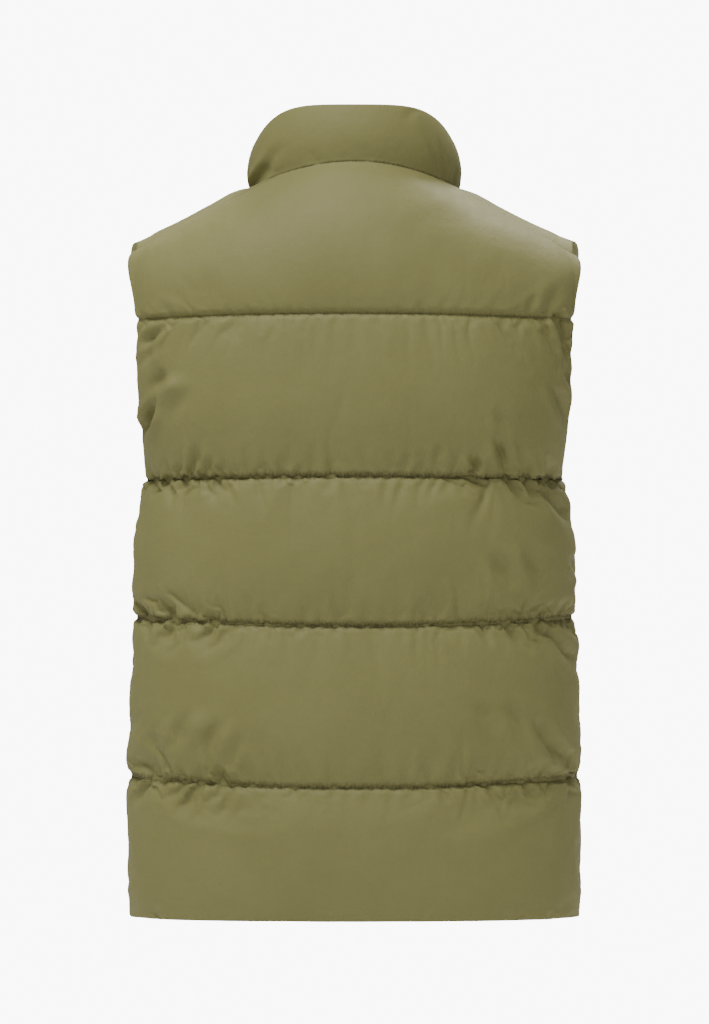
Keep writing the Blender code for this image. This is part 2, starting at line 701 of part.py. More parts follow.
def make_tab(hinge_y, hinge_z):
    """The pull tab, hanging from its bar, with its origin on the hinge."""
    bar = TAB_THICKNESS / 2
    slot_foot = -TAB_SLOT_LENGTH
    shape = bmesh.new()
    rows = ((bar, TAB_HALF_TOP), (-bar, TAB_HALF_TOP), (slot_foot, TAB_HALF_TOP),
            (mix(slot_foot, -TAB_LENGTH, TAB_WIDEST), TAB_HALF_END), (-TAB_LENGTH, TAB_HALF_TOP))
    levels = []
    for z, half in rows:
        inner = TAB_SLOT_HALF
        levels.append([[shape.verts.new((x, y, z)) for x in (-half, -inner, inner, half)]
                       for y in (-bar, bar)])
    open_cell = (1, 1)
    rim = {}
    for k in range(len(rows) - 1):
        for c in range(3):
            if (k, c) == open_cell:
                continue
            for face, turned in ((0, False), (1, True)):
                quad = [levels[k][face][c], levels[k + 1][face][c],
                        levels[k + 1][face][c + 1], levels[k][face][c + 1]]
                shape.faces.new(reversed(quad) if turned else quad)
            corners = [(k, c), (k + 1, c), (k + 1, c + 1), (k, c + 1)]
            for start, end in zip(corners, corners[1:] + corners[:1]):
                if (end, start) in rim:
                    del rim[(end, start)]
                else:
                    rim[(start, end)] = True
    for start, end in rim:
        shape.faces.new((levels[start[0]][0][start[1]], levels[start[0]][1][start[1]],
                         levels[end[0]][1][end[1]], levels[end[0]][0][end[1]]))
    tab = add_object("pull_tab", shape, "zip_metal", smooth=False)
    tab.location = (0, hinge_y, hinge_z)
    return tab


def main():
    clear_scene()
    make_back()
    make_front("left")
    make_front("right")
    make_collar()
    make_zip()


main()
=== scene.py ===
"""A quilted puffer vest, filled out as if worn: woven polyester shell, padding, stand collar, zip.

Metres, +Z up, in the frame's own axes: the front faces -Y and the wearer's left is +X.
Heights in the tables are measured up from the hem.
"""
import json
import math
import random
from bisect import bisect_right
from collections import namedtuple
from functools import lru_cache

import bmesh
import bpy
import numpy as np
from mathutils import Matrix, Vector, noise


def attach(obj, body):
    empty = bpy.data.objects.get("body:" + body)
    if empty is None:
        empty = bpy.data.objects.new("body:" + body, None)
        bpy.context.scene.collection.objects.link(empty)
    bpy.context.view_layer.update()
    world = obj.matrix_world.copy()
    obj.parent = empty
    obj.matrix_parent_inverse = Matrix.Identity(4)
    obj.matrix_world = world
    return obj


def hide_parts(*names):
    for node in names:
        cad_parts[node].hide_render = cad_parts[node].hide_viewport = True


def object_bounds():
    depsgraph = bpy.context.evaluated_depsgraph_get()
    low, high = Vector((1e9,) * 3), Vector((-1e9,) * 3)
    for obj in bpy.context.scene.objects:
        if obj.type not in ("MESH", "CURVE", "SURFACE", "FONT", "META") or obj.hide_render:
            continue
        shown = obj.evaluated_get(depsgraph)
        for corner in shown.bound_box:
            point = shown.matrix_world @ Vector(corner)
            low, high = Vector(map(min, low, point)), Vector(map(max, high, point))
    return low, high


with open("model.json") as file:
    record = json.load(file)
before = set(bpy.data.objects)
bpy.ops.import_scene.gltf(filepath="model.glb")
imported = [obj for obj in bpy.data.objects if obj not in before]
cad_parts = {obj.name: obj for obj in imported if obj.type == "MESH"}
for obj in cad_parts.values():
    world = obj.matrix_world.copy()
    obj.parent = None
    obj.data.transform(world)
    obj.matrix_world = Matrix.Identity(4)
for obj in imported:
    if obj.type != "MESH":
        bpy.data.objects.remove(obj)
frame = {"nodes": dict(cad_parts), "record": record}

cad_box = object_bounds()
HEM = cad_box[0].z         # the origin lies this far above the hem, at the shoulders
MM = 0.001

# The cloth's middle surface, as in the frame's solids: rings from the hem to the yoke line.
ROUNDNESS = 2.3
SEAM_GAP = 0.0003
ZIP_EDGE = 0.0050
Ring = namedtuple("Ring", "height half_width back front bow")
RINGS = (
    Ring(0.000, 0.2085, 0.124, 0.120, 0.0000),
    Ring(0.066, 0.2058, 0.125, 0.122, -0.0040),
    Ring(0.132, 0.2088, 0.125, 0.124, -0.0080),
    Ring(0.206, 0.2036, 0.126, 0.125, -0.0078),
    Ring(0.281, 0.2036, 0.124, 0.126, -0.0070),
    Ring(0.345, 0.2002, 0.125, 0.130, -0.0020),
    Ring(0.410, 0.1940, 0.124, 0.132, 0.0030),
    Ring(0.485, 0.1978, 0.126, 0.131, 0.0045),
    Ring(0.559, 0.2032, 0.124, 0.124, 0.0055),
)
QUILT_LINES = (0.000, 0.132, 0.281, 0.410, 0.559)   # hem first, yoke line last
UNDERARM = QUILT_LINES[3]
YOKE_LINE = QUILT_LINES[4]

ARMHOLE_BACK = 0.060
ARMHOLE_FRONT = 0.064
ARMHOLE_ROUNDNESS = 2.3
TIP_ROLL = 0.0055
TIP_ROLL_POWER = 6

NECK_HALF = 0.0970
NECK_BACK = 0.0760
NECK_FRONT = 0.0790
NECK_Y = -0.0060
NECK_SIDE_HEIGHT = 0.6835
NECK_BACK_RISE = 0.0240
NECK_FRONT_FALL = 0.0480

CREST_TIP = (0.2030, -0.0040, 0.6290)
CREST_SAG = 0.0034
Seam = namedtuple("Seam", "side neck_angle tip back_column")
SEAMS = {
    "left": Seam(1, math.radians(46), (0.2045, 0.0150, 0.6240), 0.24),
    "right": Seam(-1, math.radians(72), (0.2045, 0.0200, 0.6200), 0.38),
}
SEAM_LEAN = math.radians(22)
FRONT_NECK_COLUMN = 0.42
BACK_TURN = (math.radians(50), math.radians(67))
FRONT_TURN = (math.radians(58), math.radians(90))
BACK_SWELL = (1.9, 1.9)
FRONT_SWELL = (1.45, 1.9)
BACK_TURN_POWER = 0.5
NECK_BLEND_POWER = 3

COLLAR_SEAT = 0.0024
COLLAR_SIDE_TOP = 0.7300
COLLAR_BACK_RISE = 0.0300
COLLAR_RISE_POWER = 5
COLLAR_FRONT_FALL = 0.0310
COLLAR_LEAN_IN = 0.0085
COLLAR_BACK_LEAN = 0.0070

EDGE_HALF = 0.0015
Padding = namedtuple("Padding", "out inner reach")
BODY_PADDING = Padding(0.0085, 0.0060, 0.030)
COLLAR_PADDING = Padding(0.0040, 0.0035, 0.018)
NECK_REACH = 0.022
FULLNESS = 0.75
HEM_LOFT = 0.35
COLLAR_TOP_LOFT = 0.45
ARMHOLE_LOFT = 0.30
TIP_LOFT = 0.80            # the same at the shoulder's crest
TIP_LOFT_HEIGHTS = (0.585, 0.625)
ZIP_MARGIN = 0.0155

# How finely the cloth is modelled. All counts are even: the inner skin takes every second one.
CHANNEL_STEPS = 52
BACK_COLUMNS = (66, 68, 82)
FRONT_COLUMNS = (46, 62)
SHOULDER_STEPS = 10
COLLAR_COLUMNS = 300
COLLAR_ROWS = 30
YOKE_BLUR = 6              # columns each way over which the yoke's corners are evened out
ROW_CROWDING = 0.55        # 0 spaces the rows evenly, 1 crowds them at the quilting

# Stitches and their groove, and the needle puckers beside seams with their painted shade.
STITCH_PITCH = 0.0034
STITCH_LENGTH = 0.0023
STITCH_HALF = 0.00028
GROOVE_DEPTH = 0.0026
GROOVE_HALF = 0.0026
SEAM_SHADE = 0.0026        # reach of the fine needle puckers and their painted shade beside a seam
SEAM_ABOVE = 0.0058        # the same above a quilting line
SEAM_WEIGHTS = (0.15, 0.85, 1.0, 1.0, 0.42)         # strength of the puckers and their painted shade at each quilting line, from the hem up
COLLAR_SINK = 0.0030       # the collar's foot is sewn this far into the neck seam

# The shell's slack: how much too large the cloth is cut, and how its gathers are kept.
SLACK = 0.035
SLACK_FRAMES = 20
SLACK_PRESSURE = 4.0
SLACK_BENDING = 0.05
SLACK_CAP = 0.012
SLACK_BLUR = (9, 9)        # rows and columns each way
SLACK_LEVELLED = 0.9       # share of its even swelling that is taken off again
SLACK_KEPT = (0.8, 1.25, 1.3, 1.1, 0.25)   # in each channel from the hem up, at its lines
SLACK_FAR = 0.30           # share left in a channel's middle
SLACK_REACH = 0.026        # how far the gathers run from a line

# A crease runs from (x1, h1) to (x2, h2) in millimetres, x towards the wearer's left and h
# above the hem. bend moves its middle sideways. depth is positive for a trough and negative
# for a ridge. head is the depth left at its first end: 1 where it runs out of a seam.
Crease = namedtuple("Crease", "x1 h1 x2 h2 bend depth width head")
BACK_CREASES = (
    # yoke, above the first quilting line
    Crease(60, 690, 118, 640, 5, 0.9, 8, 0.6),
    Crease(-62, 690, -112, 652, -5, 0.8, 8, 0.6),
    Crease(-176, 566, -189, 592, 0, 1.1, 6, 1.0),
    Crease(-160, 566, -168, 584, 0, 0.6, 4, 1.0),
    Crease(168, 560, 176, 578, 0, 0.5, 4, 1.0),
    Crease(96, 563, 99, 574, 0, 0.4, 3, 1.0),
    Crease(-62, 564, -60, 577, 0, 0.4, 3, 1.0),
    # between the first and the second line, wearer's left
    Crease(177, 552, 199, 526, 2, 3.4, 4.5, 0.3),
    Crease(182, 540, 200, 514, -2, 2.6, 4.5, 0.0),
    Crease(171, 514, 184, 488, 0, 2.2, 6, 0.0),
    Crease(146, 505, 183, 475, 5, -2.4, 8, 0.0),
    Crease(180, 486, 198, 449, -1, 6.0, 4.5, 0.2),
    Crease(181, 415, 178, 426, 0, 1.0, 3, 1.0),
    Crease(163, 415, 159, 428, 0, 1.3, 3, 1.0),
    Crease(150, 415, 144, 447, 2, 2.0, 4.0, 1.0),
    Crease(140, 414, 129, 436, 1, 1.3, 4, 1.0),
    Crease(123, 414, 120, 427, 0, 1.1, 3, 1.0),
    Crease(81, 414, 83, 428, 0, 0.9, 3, 1.0),
    Crease(67, 414, 66, 424, 0, 0.8, 3, 1.0),
    Crease(52, 414, 50, 425, 0, 0.8, 3, 1.0),
    Crease(21, 437, 22, 389, 1, 1.2, 3.2, 0.1),
    Crease(15, 414, 13, 424, 0, 0.6, 3, 1.0),
    # the same, wearer's right
    Crease(-187, 564, -203, 528, 1, 3.2, 5, 1.0),
    Crease(-191, 541, -203, 518, 0, 2.2, 4, 0.0),
    Crease(-191, 522, -201, 490, 0, 1.9, 4, 0.0),
    Crease(-172, 506, -196, 455, -4, 2.4, 5.5, 0.0),
    Crease(-125, 478, -145, 451, 0, 1.4, 6, 0.0),
    Crease(-126, 454, -140, 411, -3, 3.2, 4.8, 0.0),
    Crease(-107, 437, -115, 412, 0, 2.6, 3.8, 0.0),
    Crease(-79, 446, -75, 420, 0, 0.9, 4, 0.0),
    Crease(-52, 438, -44, 416, 0, 0.8, 4, 0.0),
    Crease(-157, 412, -163, 431, 0, 1.5, 4, 1.0),
    Crease(-178, 411, -184, 430, 0, 1.8, 4, 1.0),
    # between the second and the third line
    Crease(185, 412, 187, 398, 0, 1.3, 3, 1.0),
    Crease(174, 413, 176, 400, 0, 1.2, 3, 1.0),
    Crease(156, 413, 160, 396, 0, 1.4, 3.2, 1.0),
    Crease(128, 413, 121, 397, 0, 1.2, 3.2, 1.0),
    Crease(65, 414, 67, 404, 0, 0.8, 3, 1.0),
    Crease(53, 414, 52, 403, 0, 0.8, 3, 1.0),
    Crease(-104, 411, -125, 396, -2, 1.9, 4, 1.0),
    Crease(-138, 411, -152, 385, -2, 2.0, 4, 1.0),
    Crease(-157, 410, -171, 387, 0, 1.8, 4, 1.0),
    Crease(-171, 400, -196, 354, -4, 2.6, 5, 0.6),
    Crease(-118, 347, -154, 296, -3, 2.6, 8, 0.0),
    Crease(-148, 351, -176, 296, -3, 2.8, 7, 0.0),
    Crease(-195, 345, -208, 311, 0, 2.3, 5, 0.0),
    Crease(190, 279, 201, 300, 0, 2.0, 4, 1.0),
    Crease(165, 277, 179, 304, 0, 2.8, 4.5, 1.0),
    Crease(129, 275, 136, 292, 0, 2.3, 3.8, 1.0),
    Crease(80, 275, 84, 287, 0, 1.0, 3, 1.0),
    Crease(15, 275, 12, 293, 0, 0.9, 3, 1.0),
    Crease(-66, 274, -66, 292, 0, 1.0, 3, 1.0),
    Crease(-119, 272, -119, 284, 0, 1.2, 3, 1.0),
    Crease(-144, 276, -143, 289, 0, 1.2, 3, 1.0),
    Crease(-171, 279, -173, 292, 0, 1.4, 3, 1.0),
    # between the third and the fourth line
    Crease(166, 276, 178, 251, 0, 1.7, 4, 1.0),
    Crease(130, 274, 140, 256, 0, 1.6, 3.5, 1.0),
    Crease(50, 274, 51, 262, 0, 0.8, 3, 1.0),
    Crease(18, 274, 18, 262, 0, 0.9, 3, 1.0),
    Crease(-140, 275, -154, 250, 0, 1.7, 4, 1.0),
    Crease(-167, 278, -178, 259, 0, 1.5, 4, 1.0),
    Crease(-179, 268, -202, 220, -3, 2.4, 6, 0.5),
    Crease(179, 188, 179, 143, 3, 1.7, 7, 0.0),
    Crease(150, 195, 162, 134, 6, 2.3, 6, 0.0),
    Crease(131, 198, 148, 158, 3, -1.9, 7, 0.0),
    Crease(106, 189, 124, 142, 4, -1.9, 7, 0.0),
    Crease(115, 186, 136, 140, 4, 1.2, 7, 0.0),
    Crease(122, 128, 125, 146, 0, 2.2, 4, 1.0),
    Crease(187, 131, 201, 154, 0, 2.4, 4, 1.0),
    Crease(180, 129, 198, 162, 2, 2.2, 4.5, 1.0),
    Crease(-105, 207, -130, 167, -3, 1.6, 8, 0.0),
    Crease(-133, 207, -167, 153, -3, 2.2, 7, 0.0),
    Crease(-152, 207, -187, 129, -4, 3.0, 6, 0.0),
    Crease(-178, 177, -190, 137, 0, 1.9, 5, 0.0),
    Crease(-71, 124, -60, 151, 0, 0.8, 5, 1.0),
    Crease(-108, 125, -107, 142, 0, 1.0, 3.5, 1.0),
    # below the fourth line, and the hem
    Crease(189, 128, 205, 99, 0, 1.9, 4.5, 1.0),
    Crease(156, 128, 171, 109, 0, 1.6, 4, 1.0),
    Crease(143, 126, 161, 91, 0, 1.9, 4.5, 1.0),
    Crease(119, 125, 136, 106, 0, 1.3, 4, 1.0),
    Crease(113, 125, 124, 91, 0, 1.5, 4, 1.0),
    Crease(55, 124, 55, 114, 0, 0.8, 3, 1.0),
    Crease(18, 124, 18, 112, 0, 0.8, 3, 1.0),
    Crease(-80, 121, -86, 105, 0, 0.9, 3.5, 1.0),
    Crease(-121, 125, -134, 107, 0, 1.4, 4, 1.0),
    Crease(-155, 127, -170, 109, 0, 1.4, 4, 1.0),
    Crease(-208, 134, -212, 115, 0, 1.8, 4, 1.0),
    Crease(207, 42, 213, 22, 0, 1.4, 5, 0.0),
    Crease(176, -2, 190, 9, 0, 1.2, 3.5, 1.0),
    Crease(-153, -2, -152, 11, 0, 0.9, 3, 1.0),
    Crease(-180, -2, -178, 9, 0, 0.9, 3, 1.0),
)

CREASE_SCALE = 2.1
PUCKER_SCALE = 1.9

# Uneven puckers along each quilting line: mean spacing, height and reach above and below it,
# in millimetres, and how much more they show towards the side seams.
Pucker = namedtuple("Pucker", "line spacing depth reach sides")
PUCKERS = (
    Pucker(0, 24, 0.45, 9, 0.6),
    Pucker(1, 15, 0.70, 15, 0.9),
    Pucker(2, 15, 0.65, 14, 0.9),
    Pucker(3, 12, 0.95, 17, 0.8),
    Pucker(4, 21, 0.30, 8, 1.2),
)


def srgb(code):
    """Linear colour of an sRGB hex value such as "8D885C"."""
    parts = [int(code[k:k + 2], 16) / 255 for k in (0, 2, 4)]
    return tuple(c / 12.92 if c <= 0.04045 else ((c + 0.055) / 1.055) ** 2.4
                 for c in parts) + (1.0,)


def mix(start, end, share):
    return start + (end - start) * share


def smooth_step(share):
    share = np.clip(share, 0, 1)
    return share * share * (3 - 2 * share)


# ---------------------------------------------------------------- the cloth's middle surface

@lru_cache(maxsize=None)
def ring_at(height):
    """The ring at any height, on a smooth curve through the table's rows."""
    heights = np.array([ring.height for ring in RINGS])
    low = min(max(bisect_right(heights, height) - 1, 0), len(RINGS) - 2)
    span = heights[low + 1] - heights[low]
    t = (height - heights[low]) / span
    sizes = []
    for column in Ring._fields[1:]:
        values = np.array([getattr(ring, column) for ring in RINGS])
        slopes = np.gradient(values, heights)
        start = (values[low] * (2 * t**3 - 3 * t**2 + 1)
                 + slopes[low] * span * (t**3 - 2 * t**2 + t))
        end = values[low + 1] * (3 * t**2 - 2 * t**3) + slopes[low + 1] * span * (t**3 - t**2)
        sizes.append(start + end)
    return Ring(height, *sizes)


def armhole_reach(height, most):
    """Half the armhole's depth at a height: nothing at the underarm, most at the yoke line."""
    if height <= UNDERARM:
        return 0.0
    left = (YOKE_LINE - height) / (YOKE_LINE - UNDERARM)
    return most * (1 - left**ARMHOLE_ROUNDNESS) ** (1 / ARMHOLE_ROUNDNESS)


def body_point(share, height, side, front):
    """The wall's middle on the ring at a height; share is 0 at the centre, 1 at the side."""
    ring = ring_at(height)
    depth = ring.front if front else ring.back
    reach = armhole_reach(height, ARMHOLE_FRONT if front else ARMHOLE_BACK)
    cut = (1 - (reach / depth) ** ROUNDNESS) ** (1 / ROUNDNESS)
    half_width = ring.half_width / cut
    angle = share * math.acos((reach / depth) ** (ROUNDNESS / 2))
    x = half_width * math.sin(angle) ** (2 / ROUNDNESS)
    y = depth * math.cos(angle) ** (2 / ROUNDNESS)
    z = height + ring.bow * (1 - (x / half_width) ** 2)
    if front:
        x = ZIP_EDGE + x * (half_width * cut - ZIP_EDGE) / (half_width * cut)
        y = -y
    return np.array((side * x, y, z))


def open_front(x, angle):
    """Keep the front half of a neck ring clear of the zip."""
    if math.cos(angle) > 0:
        return x
    return math.copysign(ZIP_EDGE, angle) + x * (NECK_HALF - ZIP_EDGE) / NECK_HALF


def neck_point(angle):
    """The neck ring's middle: 0 at the centre back, plus and minus pi at the centre front."""
    back = math.cos(angle) > 0
    lift = NECK_BACK_RISE if back else -NECK_FRONT_FALL
    y = NECK_Y + (NECK_BACK if back else NECK_FRONT) * math.cos(angle)
    z = NECK_SIDE_HEIGHT + lift * math.cos(angle) ** 2
    return np.array((open_front(NECK_HALF * math.sin(angle), angle), y, z))


def seam_point(seam, share):
    """The shoulder seam from the neck to the tip."""
    tip = np.array(seam.tip) * (seam.side, 1, 1)
    return mix(neck_point(seam.side * seam.neck_angle), tip, share)


def crest_point(seam, share):
    """The shoulder's crest from the neck to the tip."""
    tip = np.array(CREST_TIP) * (seam.side, 1, 1)
    sag = np.array((0, 0, CREST_SAG * math.sin(math.pi * share)))
    return mix(neck_point(seam.side * math.pi / 2), tip, share) - sag


def shoulder_point(seam, across, place):
    """The front's cloth from the crest (0) back to the shoulder seam (1)."""
    def straight(column):
        crest = crest_point(seam, column)
        end = seam_point(seam, column)
        return mix(crest, end, np.array((place, place, place**2)))

    ring = neck_point(seam.side * mix(math.pi / 2, seam.neck_angle, place))
    return straight(across) + (ring - straight(0)) * (1 - across) ** NECK_BLEND_POWER


def arch_point(start, end, turn, share, edge, swell):
    """A point on the rise over the shoulder: upright at start, leaning by turn at end."""
    angle = turn * share
    power = 2 / mix(*swell, edge)
    run = (1 - abs(math.cos(angle)) ** power) / (1 - abs(math.cos(turn)) ** power)
    rise = (math.sin(angle) / math.sin(turn)) ** power
    point = mix(start, end, np.array((run, run, rise)))
    point[0] += math.copysign(TIP_ROLL * edge**TIP_ROLL_POWER * math.sin(math.pi * run), start[0])
    return point


def collar_point(angle, share):
    """The collar wall's middle: share is 0 at its lower edge and 1 at its top."""
    back = math.cos(angle) > 0
    foot = neck_point(angle)
    half_width = NECK_HALF - COLLAR_LEAN_IN * share**2
    lean = COLLAR_BACK_LEAN * share**2 if back else 0.0
    depth = (NECK_BACK if back else NECK_FRONT) - lean
    x = open_front(half_width * math.sin(angle), angle)
    y = NECK_Y + depth * math.cos(angle)
    if back:
        rise = 1 - abs(math.sin(angle)) ** COLLAR_RISE_POWER
        top = COLLAR_SIDE_TOP + COLLAR_BACK_RISE * rise
    else:
        top = COLLAR_SIDE_TOP - COLLAR_FRONT_FALL * math.cos(angle) ** 2
    z = mix(foot[2] + COLLAR_SEAT, top, share)
    return np.array((x, y, z))


def crowded(share):
    """Row places in a channel, closer together near its two quilting lines."""
    return mix(share, (1 - math.cos(math.pi * share)) / 2, ROW_CROWDING)


def channel_heights():
    heights = [QUILT_LINES[0]]
    for low, high in zip(QUILT_LINES, QUILT_LINES[1:]):
        for step in range(1, CHANNEL_STEPS + 1):
            heights.append(mix(low, high, crowded(step / CHANNEL_STEPS)))
    return heights


def section(start, end, count):
    return [mix(start, end, step / count) for step in range(count)]


class Grid:
    """A piece's middle surface: rows going up, columns going round, and which points exist."""

    def __init__(self, rows, columns, outward):
        self.points = np.zeros((rows, columns, 3))
        self.exists = np.ones((rows, columns), dtype=bool)
        self.fixed_normals = {}
        self.outward = outward

    def cells(self, step=1):
        seen = self.exists[::step, ::step]
        return seen[:-1, :-1] & seen[1:, :-1] & seen[:-1, 1:] & seen[1:, 1:]

    def normals(self):
        """Outward directions: the mean of the faces round each point, or the seam's own."""
        p = self.points
        face = np.cross(p[1:, 1:] - p[:-1, :-1], p[1:, :-1] - p[:-1, 1:]) * self.outward
        length = np.linalg.norm(face, axis=2, keepdims=True)
        face = np.where(self.cells()[..., None], face / np.maximum(length, 1e-12), 0)
        total = np.zeros_like(p)
        for rows, columns in ((slice(None, -1), slice(None, -1)), (slice(1, None), slice(1, None)),
                              (slice(1, None), slice(None, -1)), (slice(None, -1), slice(1, None))):
            total[rows, columns] += face
        for place, normal in self.fixed_normals.items():
            total[place] = normal
        length = np.linalg.norm(total, axis=2, keepdims=True)
        return total / np.where(length > 0, length, 1)

    def along(self, axis):
        """Distance of each point from the two ends of its own row (1) or column (0)."""
        steps = np.linalg.norm(np.diff(self.points, axis=axis), axis=2)
        both = self.exists.take(range(1, self.exists.shape[axis]), axis)
        both = both & self.exists.take(range(self.exists.shape[axis] - 1), axis)
        steps = np.where(both, steps, 0)
        start = np.insert(np.cumsum(steps, axis=axis), 0, 0, axis=axis)
        end = np.max(start, axis=axis, keepdims=True) - start
        return start, end


def channel_place(grid, line_rows):
    """For each point: its channel's place from 0 to 1, its channel's rows and its height up."""
    up = grid.along(0)[0]
    place = np.zeros(grid.exists.shape)
    first = np.zeros(grid.exists.shape, dtype=bool)
    final = np.zeros(grid.exists.shape, dtype=bool)
    to_line = np.full(grid.exists.shape, 9.0)
    for j in range(place.shape[1]):
        last = int(np.flatnonzero(grid.exists[:, j])[-1])
        stops = [row for row in line_rows if row < last] + [last]
        for low, high in zip(stops, stops[1:]):
            rows = slice(low, high + 1)
            place[rows, j] = (up[rows, j] - up[low, j]) / (up[high, j] - up[low, j])
            first[rows, j] = low == 0
            final[rows, j] = high == last
        for row in stops[1:-1]:
            to_line[:, j] = np.minimum(to_line[:, j], abs(up[:, j] - up[row, j]))
    return place, first, final, to_line


def channel_loft(grid, line_rows, foot_loft=0.0, top_loft=0.0):
    """Fullness between the quilting lines, from 0 on a line to 1 in a channel's middle."""
    place, first, final, to_line = channel_place(grid, line_rows)
    full = np.sin(math.pi * np.clip(place, 0, 1)) ** FULLNESS
    full = np.where(first & (place < 0.5), foot_loft + (1 - foot_loft) * full, full)
    full = np.where(final & (place > 0.5), top_loft + (1 - top_loft) * full, full)
    return full, to_line


def armhole_loft(grid, seam_rows, last):
    """Fullness kept at the armhole's edge, more at the shoulder's tip."""
    low, high = TIP_LOFT_HEIGHTS
    rise = smooth_step((grid.points[..., 2] - low) / (high - low))
    least = mix(ARMHOLE_LOFT, TIP_LOFT, rise)
    least[:seam_rows] = 0
    least[last] = 0
    return least


def neck_distance(grid):
    """Distance of each point from the neck ring."""
    ring = np.array([neck_point(math.radians(step)) for step in range(-180, 181, 3)])
    nearest = np.full(grid.exists.shape, 9.0)
    for point in ring:
        nearest = np.minimum(nearest, np.linalg.norm(grid.points - point, axis=2))
    return nearest


def edge_loft(distance, reach, least):
    """Fullness at a distance from an edge: least on it and 1 from reach onwards."""
    full = np.sin(math.pi / 2 * np.clip(distance / reach, 0, 1)) ** FULLNESS
    return np.maximum(full, least)


def even_yoke(grid, low, high):
    """Smooths the yoke's columns sideways between its quilting line and its upper edge."""
    rows = grid.points[low:high + 1]
    share = np.linspace(0, 1, high - low + 1)[:, None]
    columns = np.arange(rows.shape[1])
    inside = np.minimum(columns, columns[-1] - columns)[None, :] / YOKE_BLUR
    weight = np.sin(math.pi * share) ** 0.35 * smooth_step(inside)
    smoothed = rows
    for _ in range(3):
        smoothed = blurred(smoothed, 0, YOKE_BLUR)
    grid.points[low:high + 1] = mix(rows, smoothed, weight[..., None])


def seam_normals(grid, seam, places):
    """Both pieces at a shoulder seam share the direction square to the sloping cloth."""
    along = seam_point(seam, 1) - seam_point(seam, 0)
    across = np.array((0.0, -math.cos(SEAM_LEAN), math.sin(SEAM_LEAN)))
    normal = np.cross(across, along) * seam.side
    normal *= math.copysign(1, normal[2]) / np.linalg.norm(normal)
    for place in places:
        grid.fixed_normals[place] = normal


def side_normals(grid, column, side, rows):
    """Both pieces at a side seam share the direction square to the seam."""
    for i in range(rows):
        rise = grid.points[min(i + 1, rows - 1), column] - grid.points[max(i - 1, 0), column]
        grid.fixed_normals[(i, column)] = np.array((side * rise[2], 0.0, -side * rise[0]))


def pull_in(grid, places, toward):
    """Move seam points half the seam gap towards their neighbours inside the piece."""
    for place, inside in zip(places, toward):
        step = grid.points[inside] - grid.points[place]
        grid.points[place] += step / np.linalg.norm(step) * SEAM_GAP / 2


# ---------------------------------------------------------------- creases and puckers

def crease_field(sideways, heights, creases):
    """How far each point moves out (metres) for the creases, by its place on the panel."""
    moved = np.zeros(sideways.shape)
    for crease in creases:
        a = np.array((crease.x1, crease.h1)) * MM
        b = np.array((crease.x2, crease.h2)) * MM
        run = b - a
        length = np.linalg.norm(run)
        run = run / length
        u = ((sideways - a[0]) * run[0] + (heights - a[1]) * run[1]) / length
        v = (sideways - a[0]) * -run[1] + (heights - a[1]) * run[0]
        inside = np.clip(u, 0, 1)
        v = v - crease.bend * MM * np.sin(math.pi * inside)
        wide = crease.width * MM * (0.65 + 0.35 * np.sin(math.pi * np.clip(u, 0, 1)))
        start = mix(crease.head, 1, smooth_step(u / 0.45))
        start = np.where(u < 0, crease.head * smooth_step(1 + u * length / 0.004), start)
        taper = start * smooth_step((1 - u) / 0.6)
        t = v / wide
        trough = np.exp(-t * t)
        shoulder = np.exp(-((np.abs(t) - 2.0) / 0.9) ** 2)
        moved -= crease.depth * CREASE_SCALE * MM * taper * (trough - 0.38 * shoulder)
    return moved


def hidden_creases(seed, side, x_range):
    """Creases for a side that has no crease of its own in the table: like the back's."""
    draw = random.Random(seed)
    creases = []
    for line in QUILT_LINES[1:]:
        for _ in range(9):
            x = draw.uniform(*x_range)
            out = (x - x_range[0]) / (x_range[1] - x_range[0])
            up = draw.choice((-1, 1))
            rise = draw.uniform(12, 34) * (0.6 + 0.8 * out)
            lean = draw.uniform(2, 16) * out
            h = line / MM
            creases.append(Crease(side * x, h, side * (x + lean), h + up * rise, side * 2,
                                  draw.uniform(0.7, 2.2) * (0.5 + out), draw.uniform(3, 5), 1.0))
    for low, high in zip(QUILT_LINES[:-1], QUILT_LINES[1:]):
        for _ in range(3):
            x = draw.uniform(mix(*x_range, 0.55), x_range[1])
            h = mix(low, high, draw.uniform(0.25, 0.75)) / MM
            creases.append(Crease(side * (x - 14), h + 22, side * (x + 14), h - 24, side * -3,
                                  draw.uniform(1.4, 2.6), draw.uniform(5, 8), 0.0))
    return creases


def pucker_field(sideways, heights, to_side, line_heights, seed, half):
    """Small uneven gathers that run out of each quilting line and fade away from it."""
    draw = random.Random(seed)
    moved = np.zeros(sideways.shape)
    for row in PUCKERS:
        centre = line_heights[row.line]
        away = np.abs(heights - centre)
        if row.line == 0:
            away = heights - centre
        for above in (-1, 1):
            if row.line == 0 and above < 0:
                continue
            s = -half
            while s < half:
                s += draw.uniform(0.45, 1.55) * row.spacing * MM
                width = draw.uniform(1.5, 3.4) * MM
                reach = row.reach * MM * draw.uniform(0.5, 1.7)
                depth = row.depth * MM * draw.uniform(0.25, 1.7)
                lean = draw.uniform(-0.35, 0.35) - 0.35 * s / half
                near = np.abs(sideways - s) < 6 * width + reach
                side = (heights[near] - centre[near]) * above > 0
                line = sideways[near] - s - lean * away[near] * -above
                fade = np.exp(-(away[near] / reach) ** 2) * side
                grow = 1 + row.sides * (1 - smooth_step(to_side[near] / 0.10))
                t = line / (width * (1 + away[near] / reach))
                moved[near] -= depth * PUCKER_SCALE * grow * fade * (np.exp(-t * t) - 0.35 * np.exp(-t * t / 4))
    return moved


